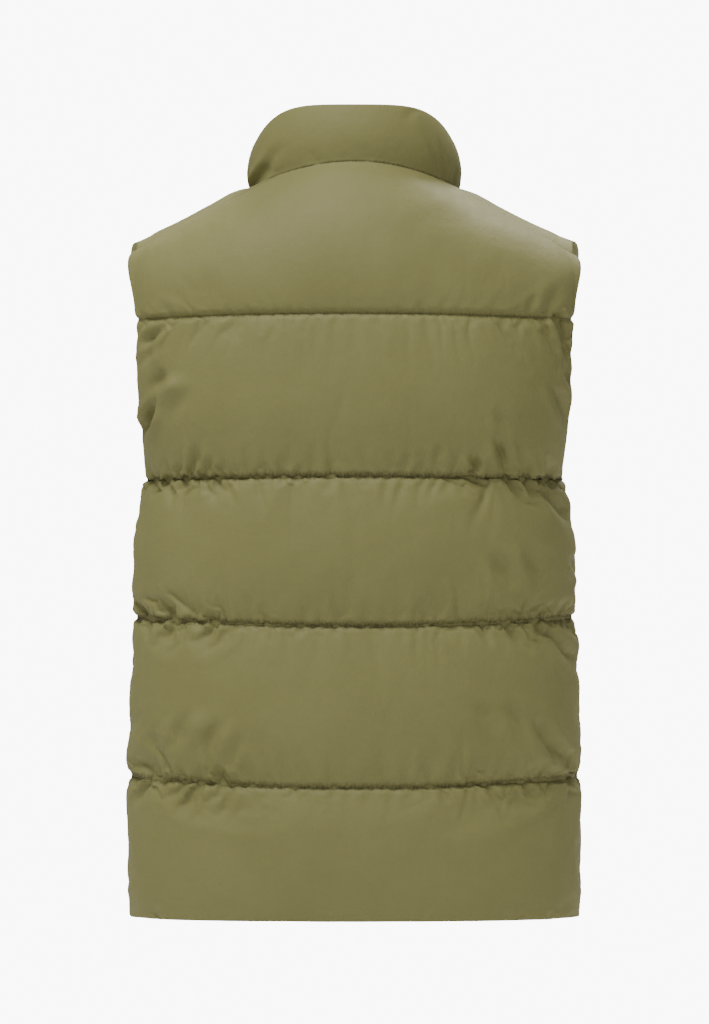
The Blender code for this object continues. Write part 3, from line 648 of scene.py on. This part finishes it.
def unevenness(points, seed):
    """Low, soft swelling of the filling: about 60 mm across, and a finer one of 22 mm."""
    offset = Vector((seed * 3.1, seed * 1.7, seed * 2.3))
    result = np.zeros(points.shape[:2])
    rows, columns = result.shape
    for i in range(0, rows):
        for j in range(0, columns):
            place = Vector(points[i, j])
            wide = noise.noise(place * 16 + offset)
            fine = noise.noise(Vector((place.x * 46, place.y * 46, place.z * 38)) + offset)
            result[i, j] = wide * 1.3 * MM + fine * 0.45 * MM
    return result


# ---------------------------------------------------------------- meshes

def mesh_object(name, places, faces, finish, smooth=True):
    mesh = bpy.data.meshes.new(name)
    mesh.from_pydata(places, [], faces)
    mesh.validate()
    mesh.update()
    mesh.materials.append(finish)
    if smooth:
        mesh.shade_smooth()
    item = bpy.data.objects.new(name, mesh)
    bpy.context.scene.collection.objects.link(item)
    return item


def skin_wall(name, grid, outer_skin, inner_skin, finish, seam):
    """A closed padded wall: a fine outer skin, a coarser inner one and rims between them."""
    drop = np.array((0, 0, HEM))
    places = []
    faces = []
    numbers = []
    for step, skin in ((1, outer_skin), (2, inner_skin)):
        number = np.full(grid.exists.shape, -1)
        seen = np.zeros(grid.exists.shape, dtype=bool)
        seen[::step, ::step] = grid.exists[::step, ::step]
        number[seen] = np.arange(seen.sum()) + len(places)
        places.extend(map(tuple, (skin + drop)[seen]))
        numbers.append(number)
    outside, inside = numbers
    turned = grid.outward > 0

    def add(corners):
        corners = [int(c) for c in corners]
        faces.append(corners[::-1] if turned else corners)

    for i, j in zip(*np.nonzero(grid.cells())):
        add((outside[i, j], outside[i + 1, j], outside[i + 1, j + 1], outside[i, j + 1]))
    rim = {}
    for i, j in zip(*np.nonzero(grid.cells(2))):
        corners = [(2 * i, 2 * j), (2 * i, 2 * j + 2), (2 * i + 2, 2 * j + 2), (2 * i + 2, 2 * j)]
        add([inside[c] for c in corners])
        for start, end in zip(corners, corners[1:] + corners[:1]):
            if (end, start) in rim:
                del rim[(end, start)]
            else:
                rim[(start, end)] = True
    for start, end in rim:
        middle = ((start[0] + end[0]) // 2, (start[1] + end[1]) // 2)
        add((inside[start], outside[start], outside[middle]))
        add((inside[start], outside[middle], inside[end]))
        add((inside[end], outside[middle], outside[end]))
    item = mesh_object(name, places, faces, finish)
    # The seam attribute on the outer skin: where the shader bumps the needle puckers and paints their shade.
    values = np.zeros(len(places))
    values[:int(grid.exists.sum())] = seam[grid.exists]
    item.data.attributes.new("seam", "FLOAT", "POINT").data.foreach_set("value", values)
    return item


def line_rows():
    return [k * CHANNEL_STEPS for k in range(5)]


def body_field(grid, from_side, seed, creases, half):
    """All the small relief of a body panel's outer skin, in metres outwards."""
    sideways = grid.points[..., 0]
    heights = grid.points[..., 2]
    lines = [np.broadcast_to(heights[row][None, :], heights.shape) for row in line_rows()]
    field = crease_field(sideways, heights, creases)
    field += pucker_field(sideways, heights, from_side, lines, seed, half)
    return field


def blurred(field, rows, columns):
    """A moving mean over so many rows and columns each way, edges repeated."""
    for axis, reach in ((0, rows), (1, columns)):
        pad = [(0, 0)] * field.ndim
        pad[axis] = (reach + 1, reach)
        total = np.cumsum(np.pad(field, pad, mode="edge"), axis=axis)
        count = field.shape[axis]
        high = total.take(range(2 * reach + 1, 2 * reach + 1 + count), axis)
        low = total.take(range(count), axis)
        field = (high - low) / (2 * reach + 1)
    return field


def gathered(name, grid, skin, held):
    """Blender's cloth, cut a little too large and held at its seams: how its slack gathers."""
    number = np.full(grid.exists.shape, -1)
    number[grid.exists] = np.arange(grid.exists.sum())
    cells = [(int(number[i, j]), int(number[i + 1, j]), int(number[i + 1, j + 1]),
              int(number[i, j + 1])) for i, j in zip(*np.nonzero(grid.cells()))]
    if grid.outward > 0:
        cells = [cell[::-1] for cell in cells]
    item = mesh_object(name + "_slack", [tuple(p) for p in skin[grid.exists]], cells,
                       MATERIALS["shell_fabric"])
    group = item.vertex_groups.new(name="held")
    for index, weight in enumerate(held[grid.exists]):
        group.add([index], float(weight), "REPLACE")
    cloth = item.modifiers.new("slack", "CLOTH")
    settings = cloth.settings
    settings.quality = 5
    settings.mass = 0.10
    settings.tension_stiffness = 18
    settings.compression_stiffness = 18
    settings.shear_stiffness = 6
    settings.bending_stiffness = SLACK_BENDING
    settings.air_damping = 2.5
    settings.use_pressure = True
    settings.uniform_pressure_force = SLACK_PRESSURE
    settings.shrink_min = -SLACK
    settings.shrink_max = -SLACK
    settings.vertex_group_mass = "held"
    settings.effector_weights.gravity = 0
    cloth.collision_settings.use_collision = False
    cloth.point_cache.frame_start = 1
    cloth.point_cache.frame_end = SLACK_FRAMES
    scene = bpy.context.scene
    for step in range(1, SLACK_FRAMES + 1):
        scene.frame_set(step)
    settled = item.evaluated_get(bpy.context.evaluated_depsgraph_get())
    flat = np.zeros(len(settled.data.vertices) * 3)
    settled.data.vertices.foreach_get("co", flat)
    moved = np.zeros(skin.shape)
    moved[grid.exists] = flat.reshape(-1, 3) - skin[grid.exists]
    scene.frame_set(1)
    mesh = item.data
    bpy.data.objects.remove(item, do_unlink=True)
    bpy.data.meshes.remove(mesh)
    return moved


def finish_panel(name, grid, outer_loft, inner_loft, to_line, field, soft):
    """Adds the sewn groove and the relief, keeps seams true, and builds the wall."""
    normals = grid.normals()
    groove = GROOVE_DEPTH * np.exp(-(to_line / GROOVE_HALF) ** 2)
    swell = unevenness(grid.points, len(name)) * outer_loft
    outer = EDGE_HALF + BODY_PADDING.out * outer_loft + (field + swell) * soft
    outer_skin = grid.points + normals * outer[..., None]
    held = np.maximum(np.exp(-(to_line / 0.0022) ** 2), 1 - soft)
    moved = gathered(name, grid, outer_skin, np.where(held > 0.05, held, 0))
    length = np.linalg.norm(moved, axis=2, keepdims=True)
    moved *= np.minimum(1, SLACK_CAP / np.maximum(length, 1e-9))
    moved -= blurred(moved, *SLACK_BLUR) * SLACK_LEVELLED
    near = mix(SLACK_FAR, 1, np.exp(-(to_line / SLACK_REACH) ** 2))
    sideways = smooth_step(np.abs(grid.points[..., 0]) / 0.20)
    kept = np.repeat(SLACK_KEPT, CHANNEL_STEPS)
    kept = np.append(kept, np.full(len(near) - len(kept), SLACK_KEPT[-1]))
    kept = blurred(kept[:, None], 5, 0)
    outer_skin += moved * (soft * near * mix(0.6, 1.6, sideways) * kept)[..., None]
    outer_skin -= normals * (groove * soft)[..., None]
    inner_skin = grid.points - normals * (EDGE_HALF + BODY_PADDING.inner * inner_loft)[..., None]
    # The seam attribute: where the shader bumps needle puckers and paints their shade darker, beside the upper
    # edges and the neck, and above and below each quilting line, reaching further above it.
    edges = np.minimum(grid.along(0)[1], neck_distance(grid))
    seam = np.exp(-(edges / SEAM_SHADE) ** 2) * 0.7
    for row, weight in zip(line_rows(), SEAM_WEIGHTS):
        above = grid.points[..., 2] - grid.points[row, :, 2]
        reach = np.where(above > 0, SEAM_ABOVE, SEAM_SHADE)
        seam = np.maximum(seam, weight * np.exp(-(above / reach) ** 2))
    return skin_wall(name, grid, outer_skin, inner_skin, MATERIALS["shell_fabric"], seam)


def make_back():
    left = SEAMS["left"]
    right = SEAMS["right"]
    shares = section(-1, -right.back_column, BACK_COLUMNS[0])
    shares += section(-right.back_column, left.back_column, BACK_COLUMNS[1])
    shares += section(left.back_column, 1, BACK_COLUMNS[2]) + [1]
    heights = channel_heights()
    yoke_row = len(heights) - 1
    grid = Grid(len(heights) + CHANNEL_STEPS, len(shares), -1)
    for j, share in enumerate(shares):
        side = math.copysign(1, share)
        for i, height in enumerate(heights):
            grid.points[i, j] = body_point(abs(share), height, side, False)
        if -right.back_column <= share <= left.back_column:
            reach = mix(-right.neck_angle, left.neck_angle,
                        (share + right.back_column) / (left.back_column + right.back_column))
            top = neck_point(reach)
        else:
            seam = left if share > 0 else right
            top = seam_point(seam, (abs(share) - seam.back_column) / (1 - seam.back_column))
        turn = mix(*BACK_TURN, abs(share) ** BACK_TURN_POWER)
        for step in range(1, CHANNEL_STEPS + 1):
            place = crowded(step / CHANNEL_STEPS)
            grid.points[yoke_row + step, j] = arch_point(
                grid.points[yoke_row, j], top, turn, place, abs(share), BACK_SWELL)
    last = len(heights) + CHANNEL_STEPS - 1
    even_yoke(grid, yoke_row, last)
    seam_rows = heights.index(UNDERARM) + 1
    for column, inside, side in ((0, 1, -1), (len(shares) - 1, len(shares) - 2, 1)):
        side_normals(grid, column, side, seam_rows)
        pull_in(grid, [(i, column) for i in range(seam_rows)],
                [(i, inside) for i in range(seam_rows)])
    for seam, columns in ((right, range(0, BACK_COLUMNS[0] + 1)),
                          (left, range(sum(BACK_COLUMNS[:2]), len(shares)))):
        places = [(last, j) for j in columns]
        seam_normals(grid, seam, places)
        pull_in(grid, places, [(last - 1, j) for j in columns])
    loft, to_line = channel_loft(grid, line_rows(), foot_loft=HEM_LOFT)
    least = armhole_loft(grid, seam_rows, last)
    edges = grid.along(1)
    for distance in edges:
        loft = loft * edge_loft(distance, BODY_PADDING.reach, least)
    loft = loft * edge_loft(neck_distance(grid), NECK_REACH, 0.0)
    from_side = np.minimum(*edges)
    soft = smooth_step((grid.along(0)[1]) / 0.012) * smooth_step(neck_distance(grid) / 0.016)
    soft = soft * np.where(np.arange(last + 1)[:, None] < seam_rows,
                           smooth_step(from_side / 0.006 + 0.25), 1.0)
    field = body_field(grid, from_side, 11, BACK_CREASES, 0.21)
    return grid, finish_panel("back_quilted", grid, loft, loft, to_line, field, soft)


def make_front(which, seed):
    seam = SEAMS[which]
    shares = section(0, FRONT_NECK_COLUMN, FRONT_COLUMNS[0])
    shares += section(FRONT_NECK_COLUMN, 1, FRONT_COLUMNS[1]) + [1]
    neck_column = FRONT_COLUMNS[0]
    heights = channel_heights()
    yoke_row = len(heights) - 1
    crest_row = yoke_row + CHANNEL_STEPS
    last = crest_row + SHOULDER_STEPS
    grid = Grid(last + 1, len(shares), seam.side)
    grid.exists[crest_row + 1:, :neck_column] = False
    for j, share in enumerate(shares):
        for i, height in enumerate(heights):
            grid.points[i, j] = body_point(share, height, seam.side, True)
        across = max(0, share - FRONT_NECK_COLUMN) / (1 - FRONT_NECK_COLUMN)
        if share < FRONT_NECK_COLUMN:
            angle = mix(math.pi, math.pi / 2, share / FRONT_NECK_COLUMN)
            top = neck_point(seam.side * angle)
            turn = mix(*FRONT_TURN, share / FRONT_NECK_COLUMN)
        else:
            top = crest_point(seam, across)
            turn = FRONT_TURN[1]
        for step in range(1, CHANNEL_STEPS + 1):
            place = step / CHANNEL_STEPS
            grid.points[yoke_row + step, j] = arch_point(
                grid.points[yoke_row, j], top, turn, place, share, FRONT_SWELL)
        for step in range(1, SHOULDER_STEPS + 1):
            if grid.exists[crest_row + step, j]:
                grid.points[crest_row + step, j] = shoulder_point(
                    seam, across, step / SHOULDER_STEPS)
    even_yoke(grid, yoke_row, crest_row)
    seam_rows = heights.index(UNDERARM) + 1
    outer = len(shares) - 1
    side_normals(grid, outer, seam.side, seam_rows)
    pull_in(grid, [(i, outer) for i in range(seam_rows)],
            [(i, outer - 1) for i in range(seam_rows)])
    places = [(last, j) for j in range(neck_column, len(shares))]
    seam_normals(grid, seam, places)
    pull_in(grid, places, [(last - 1, j) for j in range(neck_column, len(shares))])
    loft, to_line = channel_loft(grid, line_rows(), foot_loft=HEM_LOFT)
    from_zip, from_side = grid.along(1)
    least = armhole_loft(grid, seam_rows, last)
    loft = loft * edge_loft(from_side, BODY_PADDING.reach, least)
    loft = loft * edge_loft(neck_distance(grid), NECK_REACH, 0.0)
    outer_loft = loft * edge_loft(from_zip, BODY_PADDING.reach, 0.0)
    inner_loft = loft * edge_loft(np.maximum(from_zip - ZIP_MARGIN, 0), BODY_PADDING.reach, 0.0)
    soft = smooth_step(grid.along(0)[1] / 0.012) * smooth_step(neck_distance(grid) / 0.016)
    soft = soft * smooth_step(from_zip / 0.010)
    soft = soft * np.where(np.arange(last + 1)[:, None] < seam_rows,
                           smooth_step(from_side / 0.006 + 0.25), 1.0)
    creases = hidden_creases(seed, seam.side, (25, 196))
    field = body_field(grid, from_side, seed + 1, creases, 0.21)
    return grid, finish_panel("front_quilted_" + which, grid, outer_loft, inner_loft, to_line,
                              field, soft)


def collar_relief(grid):
    """The collar's folds: by angle round the neck in degrees and by share of its height."""
    rows, columns = grid.exists.shape
    angles = np.degrees(np.linspace(-math.pi, math.pi, columns))[None, :]
    shares = np.linspace(0, 1, rows)[:, None]
    field = np.zeros(grid.exists.shape)
    Fold = namedtuple("Fold", "angle1 share1 angle2 share2 depth width")
    folds = (
        Fold(76, 0.02, 47, 0.25, 7.0, 0.090),      # deep fold above the left shoulder seam
        Fold(60, 0.22, 38, 0.48, 1.6, 0.080),
        Fold(86, 0.10, 78, 0.42, 1.4, 0.060),
        Fold(-58, 0.02, -40, 0.62, 1.3, 0.050),
        Fold(-62, 0.04, -50, 0.70, 1.0, 0.045),
        Fold(-68, 0.00, -74, 0.40, 1.6, 0.060),
        Fold(-36, 0.90, -28, 0.62, 0.8, 0.060),
        Fold(-8, 0.05, -4, 0.40, 0.5, 0.060),
        Fold(20, 0.05, 26, 0.36, 0.6, 0.060),
        Fold(110, 0.02, 100, 0.60, 1.2, 0.060),
        Fold(-112, 0.02, -104, 0.55, 1.2, 0.060),
        Fold(140, 0.05, 132, 0.55, 0.9, 0.060),
        Fold(-146, 0.05, -138, 0.50, 0.9, 0.060),
    )
    for fold in folds:
        a = np.array((fold.angle1 / 50, fold.share1))
        b = np.array((fold.angle2 / 50, fold.share2))
        run = b - a
        length = np.linalg.norm(run)
        run = run / length
        u = ((angles / 50 - a[0]) * run[0] + (shares - a[1]) * run[1]) / length
        v = (angles / 50 - a[0]) * -run[1] + (shares - a[1]) * run[0]
        t = v / fold.width
        taper = smooth_step(1 + u / 0.15) * smooth_step((1 - u) / 0.6)
        shoulder = np.exp(-((np.abs(t) - 2.0) / 0.9) ** 2)
        field -= fold.depth * MM * taper * (np.exp(-t * t) - 0.35 * shoulder)
    return field


def make_collar():
    angles = [mix(-math.pi, math.pi, step / COLLAR_COLUMNS) for step in range(COLLAR_COLUMNS + 1)]
    grid = Grid(COLLAR_ROWS + 1, len(angles), -1)
    for i in range(COLLAR_ROWS + 1):
        for j, angle in enumerate(angles):
            grid.points[i, j] = collar_point(angle, crowded(i / COLLAR_ROWS))
        for column in (0, len(angles) - 1):
            grid.fixed_normals[(i, column)] = np.array((0.0, -1.0, 0.0))
    for j, angle in enumerate(angles):
        level = np.array((math.sin(angle) / NECK_HALF, math.cos(angle) / NECK_BACK, 0.0))
        grid.fixed_normals[(0, j)] = level
    loft, _ = channel_loft(grid, [0], top_loft=COLLAR_TOP_LOFT)
    outer_loft = loft.copy()
    inner_loft = loft.copy()
    for distance in grid.along(1):
        outer_loft = outer_loft * edge_loft(distance, COLLAR_PADDING.reach, 0.0)
        inner_loft = inner_loft * edge_loft(np.maximum(distance - ZIP_MARGIN, 0),
                                            COLLAR_PADDING.reach, 0.0)
    ends = smooth_step(np.minimum(*grid.along(1)) / 0.020)
    swell = unevenness(grid.points, 5) * outer_loft * 0.7
    outer = EDGE_HALF + COLLAR_PADDING.out * outer_loft + (collar_relief(grid) + swell) * ends
    outer = np.maximum(outer, -EDGE_HALF * 0.2)
    normals = grid.normals()
    sunk = np.array((0.0, 0.0, -COLLAR_SINK))
    foot = 1 - smooth_step(np.linspace(0, 1, COLLAR_ROWS + 1) / 0.3)
    grid.points += sunk * foot[:, None, None]
    inner = EDGE_HALF + COLLAR_PADDING.inner * inner_loft
    # The seam attribute along the collar's sewn foot: needle puckers bumped there, with their shade painted
    # darker.
    seam = np.exp(-(grid.along(0)[0] / SEAM_SHADE) ** 2)
    return skin_wall("collar_padded", grid, grid.points + normals * outer[..., None],
                     grid.points - normals * inner[..., None], MATERIALS["shell_fabric"], seam)


# ---------------------------------------------------------------- materials

def add_node(tree, kind, links=None, **settings):
    """Adds a node; settings name its properties or, in quotes by position, its inputs."""
    node = tree.nodes.new(kind)
    for key, value in settings.items():
        if key.startswith("in_"):
            node.inputs[key[3:].replace("_", " ")].default_value = value
        else:
            setattr(node, key, value)
    for socket, source in (links or {}).items():
        tree.links.new(source, node.inputs[socket])
    return node


def new_material(name, colour, roughness, metallic=0.0):
    made = bpy.data.materials.new(name)
    made.use_nodes = True
    shader = made.node_tree.nodes["Principled BSDF"]
    shader.inputs["Base Color"].default_value = srgb(colour)
    shader.inputs["Roughness"].default_value = roughness
    shader.inputs["Metallic"].default_value = metallic
    return made, made.node_tree, shader


def polyester_shell():
    """Woven polyester taffeta, dyed olive: a soft satin sheen, and needle puckers at seams, bumped and with
    their shade painted darker into the colour.
    """
    made, tree, shader = new_material("woven_polyester_olive", "7A7748", 0.62)
    shader.inputs["Sheen Weight"].default_value = 0.06
    shader.inputs["Sheen Roughness"].default_value = 0.5
    shader.inputs["Sheen Tint"].default_value = srgb("A9A471")
    shader.inputs["Specular IOR Level"].default_value = 0.30
    place = add_node(tree, "ShaderNodeTexCoord").outputs["Object"]
    seam = add_node(tree, "ShaderNodeAttribute", attribute_name="seam").outputs["Fac"]
    patches = add_node(tree, "ShaderNodeTexNoise", {"Vector": place}, in_Scale=14.0,
                       in_Detail=3.0, in_Roughness=0.55)
    tone = add_node(tree, "ShaderNodeMix", {"Factor": patches.outputs["Fac"]}, data_type="RGBA")
    tone.inputs["A"].default_value = srgb("757243")
    tone.inputs["B"].default_value = srgb("807D4E")
    # Needle puckers: 2 mm apart and 9 mm tall, only beside a seam. They are bumped, and their shade is painted
    # into the colour.
    stretched = add_node(tree, "ShaderNodeMapping", {"Vector": place})
    stretched.inputs["Scale"].default_value = (430.0, 430.0, 75.0)
    needles = add_node(tree, "ShaderNodeTexNoise", {"Vector": stretched.outputs["Vector"]},
                       in_Scale=1.0, in_Detail=2.0)
    # The needle noise times the seam attribute: the puckers' bump height and the amount of their painted shade.
    gathers = add_node(tree, "ShaderNodeMath", operation="MULTIPLY")
    tree.links.new(needles.outputs["Fac"], gathers.inputs[0])
    tree.links.new(seam, gathers.inputs[1])
    depth = add_node(tree, "ShaderNodeMapRange", {"Value": gathers.outputs["Value"]})
    depth.inputs["From Min"].default_value = 0.18
    depth.inputs["From Max"].default_value = 0.62
    depth.inputs["To Max"].default_value = 0.72
    # Painted shade: the puckers beside seams and quilting lines are darkened towards dark olive 3A3719.
    shaded = add_node(tree, "ShaderNodeMix", {"Factor": depth.outputs["Result"]},
                      data_type="RGBA")
    tree.links.new(tone.outputs["Result"], shaded.inputs["A"])
    shaded.inputs["B"].default_value = srgb("3A3719")
    tree.links.new(shaded.outputs["Result"], shader.inputs["Base Color"])
    # Threads are about 0.25 mm apart, too fine to show, so the weave is drawn at 0.9 mm.
    crinkle = add_node(tree, "ShaderNodeTexNoise", {"Vector": place}, in_Scale=120.0,
                       in_Detail=5.0, in_Roughness=0.62)
    weave = add_node(tree, "ShaderNodeTexNoise", {"Vector": place}, in_Scale=1100.0,
                     in_Detail=1.0)
    puckers = add_node(tree, "ShaderNodeBump", {"Height": gathers.outputs["Value"]},
                       in_Strength=0.9, in_Distance=0.0016)
    soft = add_node(tree, "ShaderNodeBump",
                    {"Height": crinkle.outputs["Fac"], "Normal": puckers.outputs["Normal"]},
                    in_Strength=0.30, in_Distance=0.0018)
    fine = add_node(tree, "ShaderNodeBump",
                    {"Height": weave.outputs["Fac"], "Normal": soft.outputs["Normal"]},
                    in_Strength=0.25, in_Distance=0.0003)
    tree.links.new(fine.outputs["Normal"], shader.inputs["Normal"])
    gloss = add_node(tree, "ShaderNodeMapRange", {"Value": patches.outputs["Fac"]})
    gloss.inputs["To Min"].default_value = 0.58
    gloss.inputs["To Max"].default_value = 0.68
    tree.links.new(gloss.outputs["Result"], shader.inputs["Roughness"])
    return made


def plain_grain(name, colour, dark, roughness, scale, strength, metallic=0.0):
    """A dyed or cast surface with a fine grain of one size."""
    made, tree, shader = new_material(name, colour, roughness, metallic)
    place = add_node(tree, "ShaderNodeTexCoord").outputs["Object"]
    grain = add_node(tree, "ShaderNodeTexNoise", {"Vector": place}, in_Scale=scale,
                     in_Detail=3.0)
    tone = add_node(tree, "ShaderNodeMix", {"Factor": grain.outputs["Fac"]}, data_type="RGBA")
    tone.inputs["A"].default_value = srgb(dark)
    tone.inputs["B"].default_value = srgb(colour)
    tree.links.new(tone.outputs["Result"], shader.inputs["Base Color"])
    bump = add_node(tree, "ShaderNodeBump", {"Height": grain.outputs["Fac"]},
                    in_Strength=strength, in_Distance=0.0003)
    tree.links.new(bump.outputs["Normal"], shader.inputs["Normal"])
    return made


# ---------------------------------------------------------------- stitches

def quilting_stitches(name, grid, outer_points, rows):
    """Short threads in the grooves of the quilting lines, from side to side."""
    places = []
    faces = []
    for row in rows:
        line = outer_points[row]
        steps = np.linalg.norm(np.diff(line, axis=0), axis=1)
        run = np.insert(np.cumsum(steps), 0, 0)
        count = int((run[-1] - 0.012) / STITCH_PITCH)
        for k in range(count):
            start = 0.006 + k * STITCH_PITCH
            ends = [np.array([np.interp(s, run, line[:, axis]) for axis in range(3)])
                    for s in (start, start + STITCH_LENGTH)]
            along = (ends[1] - ends[0]) / np.linalg.norm(ends[1] - ends[0])
            up = np.array((0.0, 0.0, 1.0))
            out = np.cross(along, up) * -grid.outward * -1
            out /= np.linalg.norm(out)
            first = len(places)
            for end, shrink in ((ends[0], 0.55), (mix(ends[0], ends[1], 0.5), 1.0),
                                (ends[1], 0.55)):
                middle = end + out * STITCH_HALF * (0.5 if shrink < 1 else 1.3)
                for side_up, side_out in ((-1, 0), (0, 1), (1, 0), (0, -1)):
                    places.append(middle + (up * side_up + out * side_out) * STITCH_HALF * shrink)
            for ring in range(2):
                for c in range(4):
                    d = (c + 1) % 4
                    base = first + ring * 4
                    faces.append((base + c, base + d, base + 4 + d, base + 4 + c))
            faces.append(tuple(first + c for c in (3, 2, 1, 0)))
            faces.append(tuple(first + 8 + c for c in range(4)))
    item = mesh_object(name, [tuple(p) for p in places], faces, MATERIALS["thread"])
    recalculate(item)
    return item


def recalculate(item):
    shape = bmesh.new()
    shape.from_mesh(item.data)
    bmesh.ops.recalc_face_normals(shape, faces=shape.faces)
    shape.to_mesh(item.data)
    shape.free()


def outer_rows(item, grid):
    """The finished outer skin's points as a grid, for what is sewn on it."""
    count = int(grid.exists.sum())
    flat = np.zeros(len(item.data.vertices) * 3)
    item.data.vertices.foreach_get("co", flat)
    result = np.zeros(grid.points.shape)
    result[grid.exists] = flat.reshape(-1, 3)[:count]
    return result


def declare(piece, node, body="vest"):
    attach(piece, body)
    if node:
        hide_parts(node)


# ---------------------------------------------------------------- stage

def make_stage():
    centre_z = (cad_box[0].z + cad_box[1].z) / 2
    bpy.ops.mesh.primitive_circle_add(vertices=96, radius=3.0, fill_type="NGON",
                                      location=(0, 0, HEM - 0.30))
    floor = bpy.context.object
    floor.name = "floor"
    made, _, _ = new_material("floor_white", "F4F3F0", 0.9)
    floor.data.materials.append(made)
    bpy.ops.mesh.primitive_plane_add(size=3.8, location=(0, -14.0, HEM + 0.38),
                                     rotation=(math.pi / 2, 0, math.pi))
    backdrop = bpy.context.object
    backdrop.name = "backdrop"
    made, _, shader = new_material("backdrop_white", "FFFFFF", 0.9)
    shader.inputs["Emission Color"].default_value = (1.0, 1.0, 1.0, 1.0)
    shader.inputs["Emission Strength"].default_value = 9.0
    backdrop.data.materials.append(made)
    world = bpy.data.worlds.new("studio")
    world.use_nodes = True
    world.node_tree.nodes["Background"].inputs["Color"].default_value = (1.0, 1.0, 1.0, 1.0)
    world.node_tree.nodes["Background"].inputs["Strength"].default_value = 0.40
    bpy.context.scene.world = world
    for name, place, size, power in (("top_back", (0.75, 1.35, 2.5), 1.2, 98.0),
                                     ("top_front", (-0.75, -1.6, 2.5), 1.2, 92.0)):
        lamp = bpy.data.lights.new(name, "AREA")
        lamp.size = size
        lamp.energy = power
        item = bpy.data.objects.new(name, lamp)
        item.location = place
        aim = Vector((0, 0, centre_z)) - Vector(place)
        item.rotation_euler = aim.to_track_quat("-Z", "Y").to_euler()
        bpy.context.scene.collection.objects.link(item)
    view = bpy.data.cameras.new("camera")
    distance = 8.0
    frame_height = 0.9523      # real height that the 1024-high picture spans at the vest
    view.sensor_fit = "VERTICAL"
    view.sensor_height = 24.0
    view.lens = 24.0 * distance / frame_height
    view.dof.use_dof = False
    view.clip_end = 50.0
    camera = bpy.data.objects.new("camera", view)
    camera.location = (0.0, distance + 0.1, HEM + 0.3799)
    camera.rotation_euler = (math.pi / 2, 0, math.pi)
    bpy.context.scene.collection.objects.link(camera)
    bpy.context.scene.camera = camera


MATERIALS = {
    "shell_fabric": polyester_shell(),
    "thread": plain_grain("polyester_thread", "6B6642", "5A5536", 0.6, 900.0, 0.2),
    "zip_tape": plain_grain("woven_tape_olive", "6A6545", "58543A", 0.75, 700.0, 0.5),
    "zip_teeth": plain_grain("moulded_acetal_olive", "5F5B40", "555139", 0.42, 300.0, 0.1),
    "zip_metal": plain_grain("painted_zinc_olive_grey", "5C5A4B", "504E41", 0.38, 500.0, 0.1),
}


def main():
    make_stage()
    grid, back = make_back()
    declare(back, "back_panel")
    stitches = quilting_stitches("back_stitches", grid, outer_rows(back, grid), line_rows()[1:])
    declare(stitches, None)
    for which, seed in (("left", 21), ("right", 34)):
        grid, front = make_front(which, seed)
        declare(front, "front_" + which)
        stitches = quilting_stitches("front_stitches_" + which, grid, outer_rows(front, grid),
                                     line_rows()[1:])
        declare(stitches, None)
    collar = make_collar()
    declare(collar, "collar")
    for name, node in frame["nodes"].items():
        for slot in frame["record"]["subparts"]:
            if slot["node"] == name and slot["material_slot"] != "shell_fabric":
                node.data.materials.clear()
                node.data.materials.append(MATERIALS[slot["material_slot"]])


main()
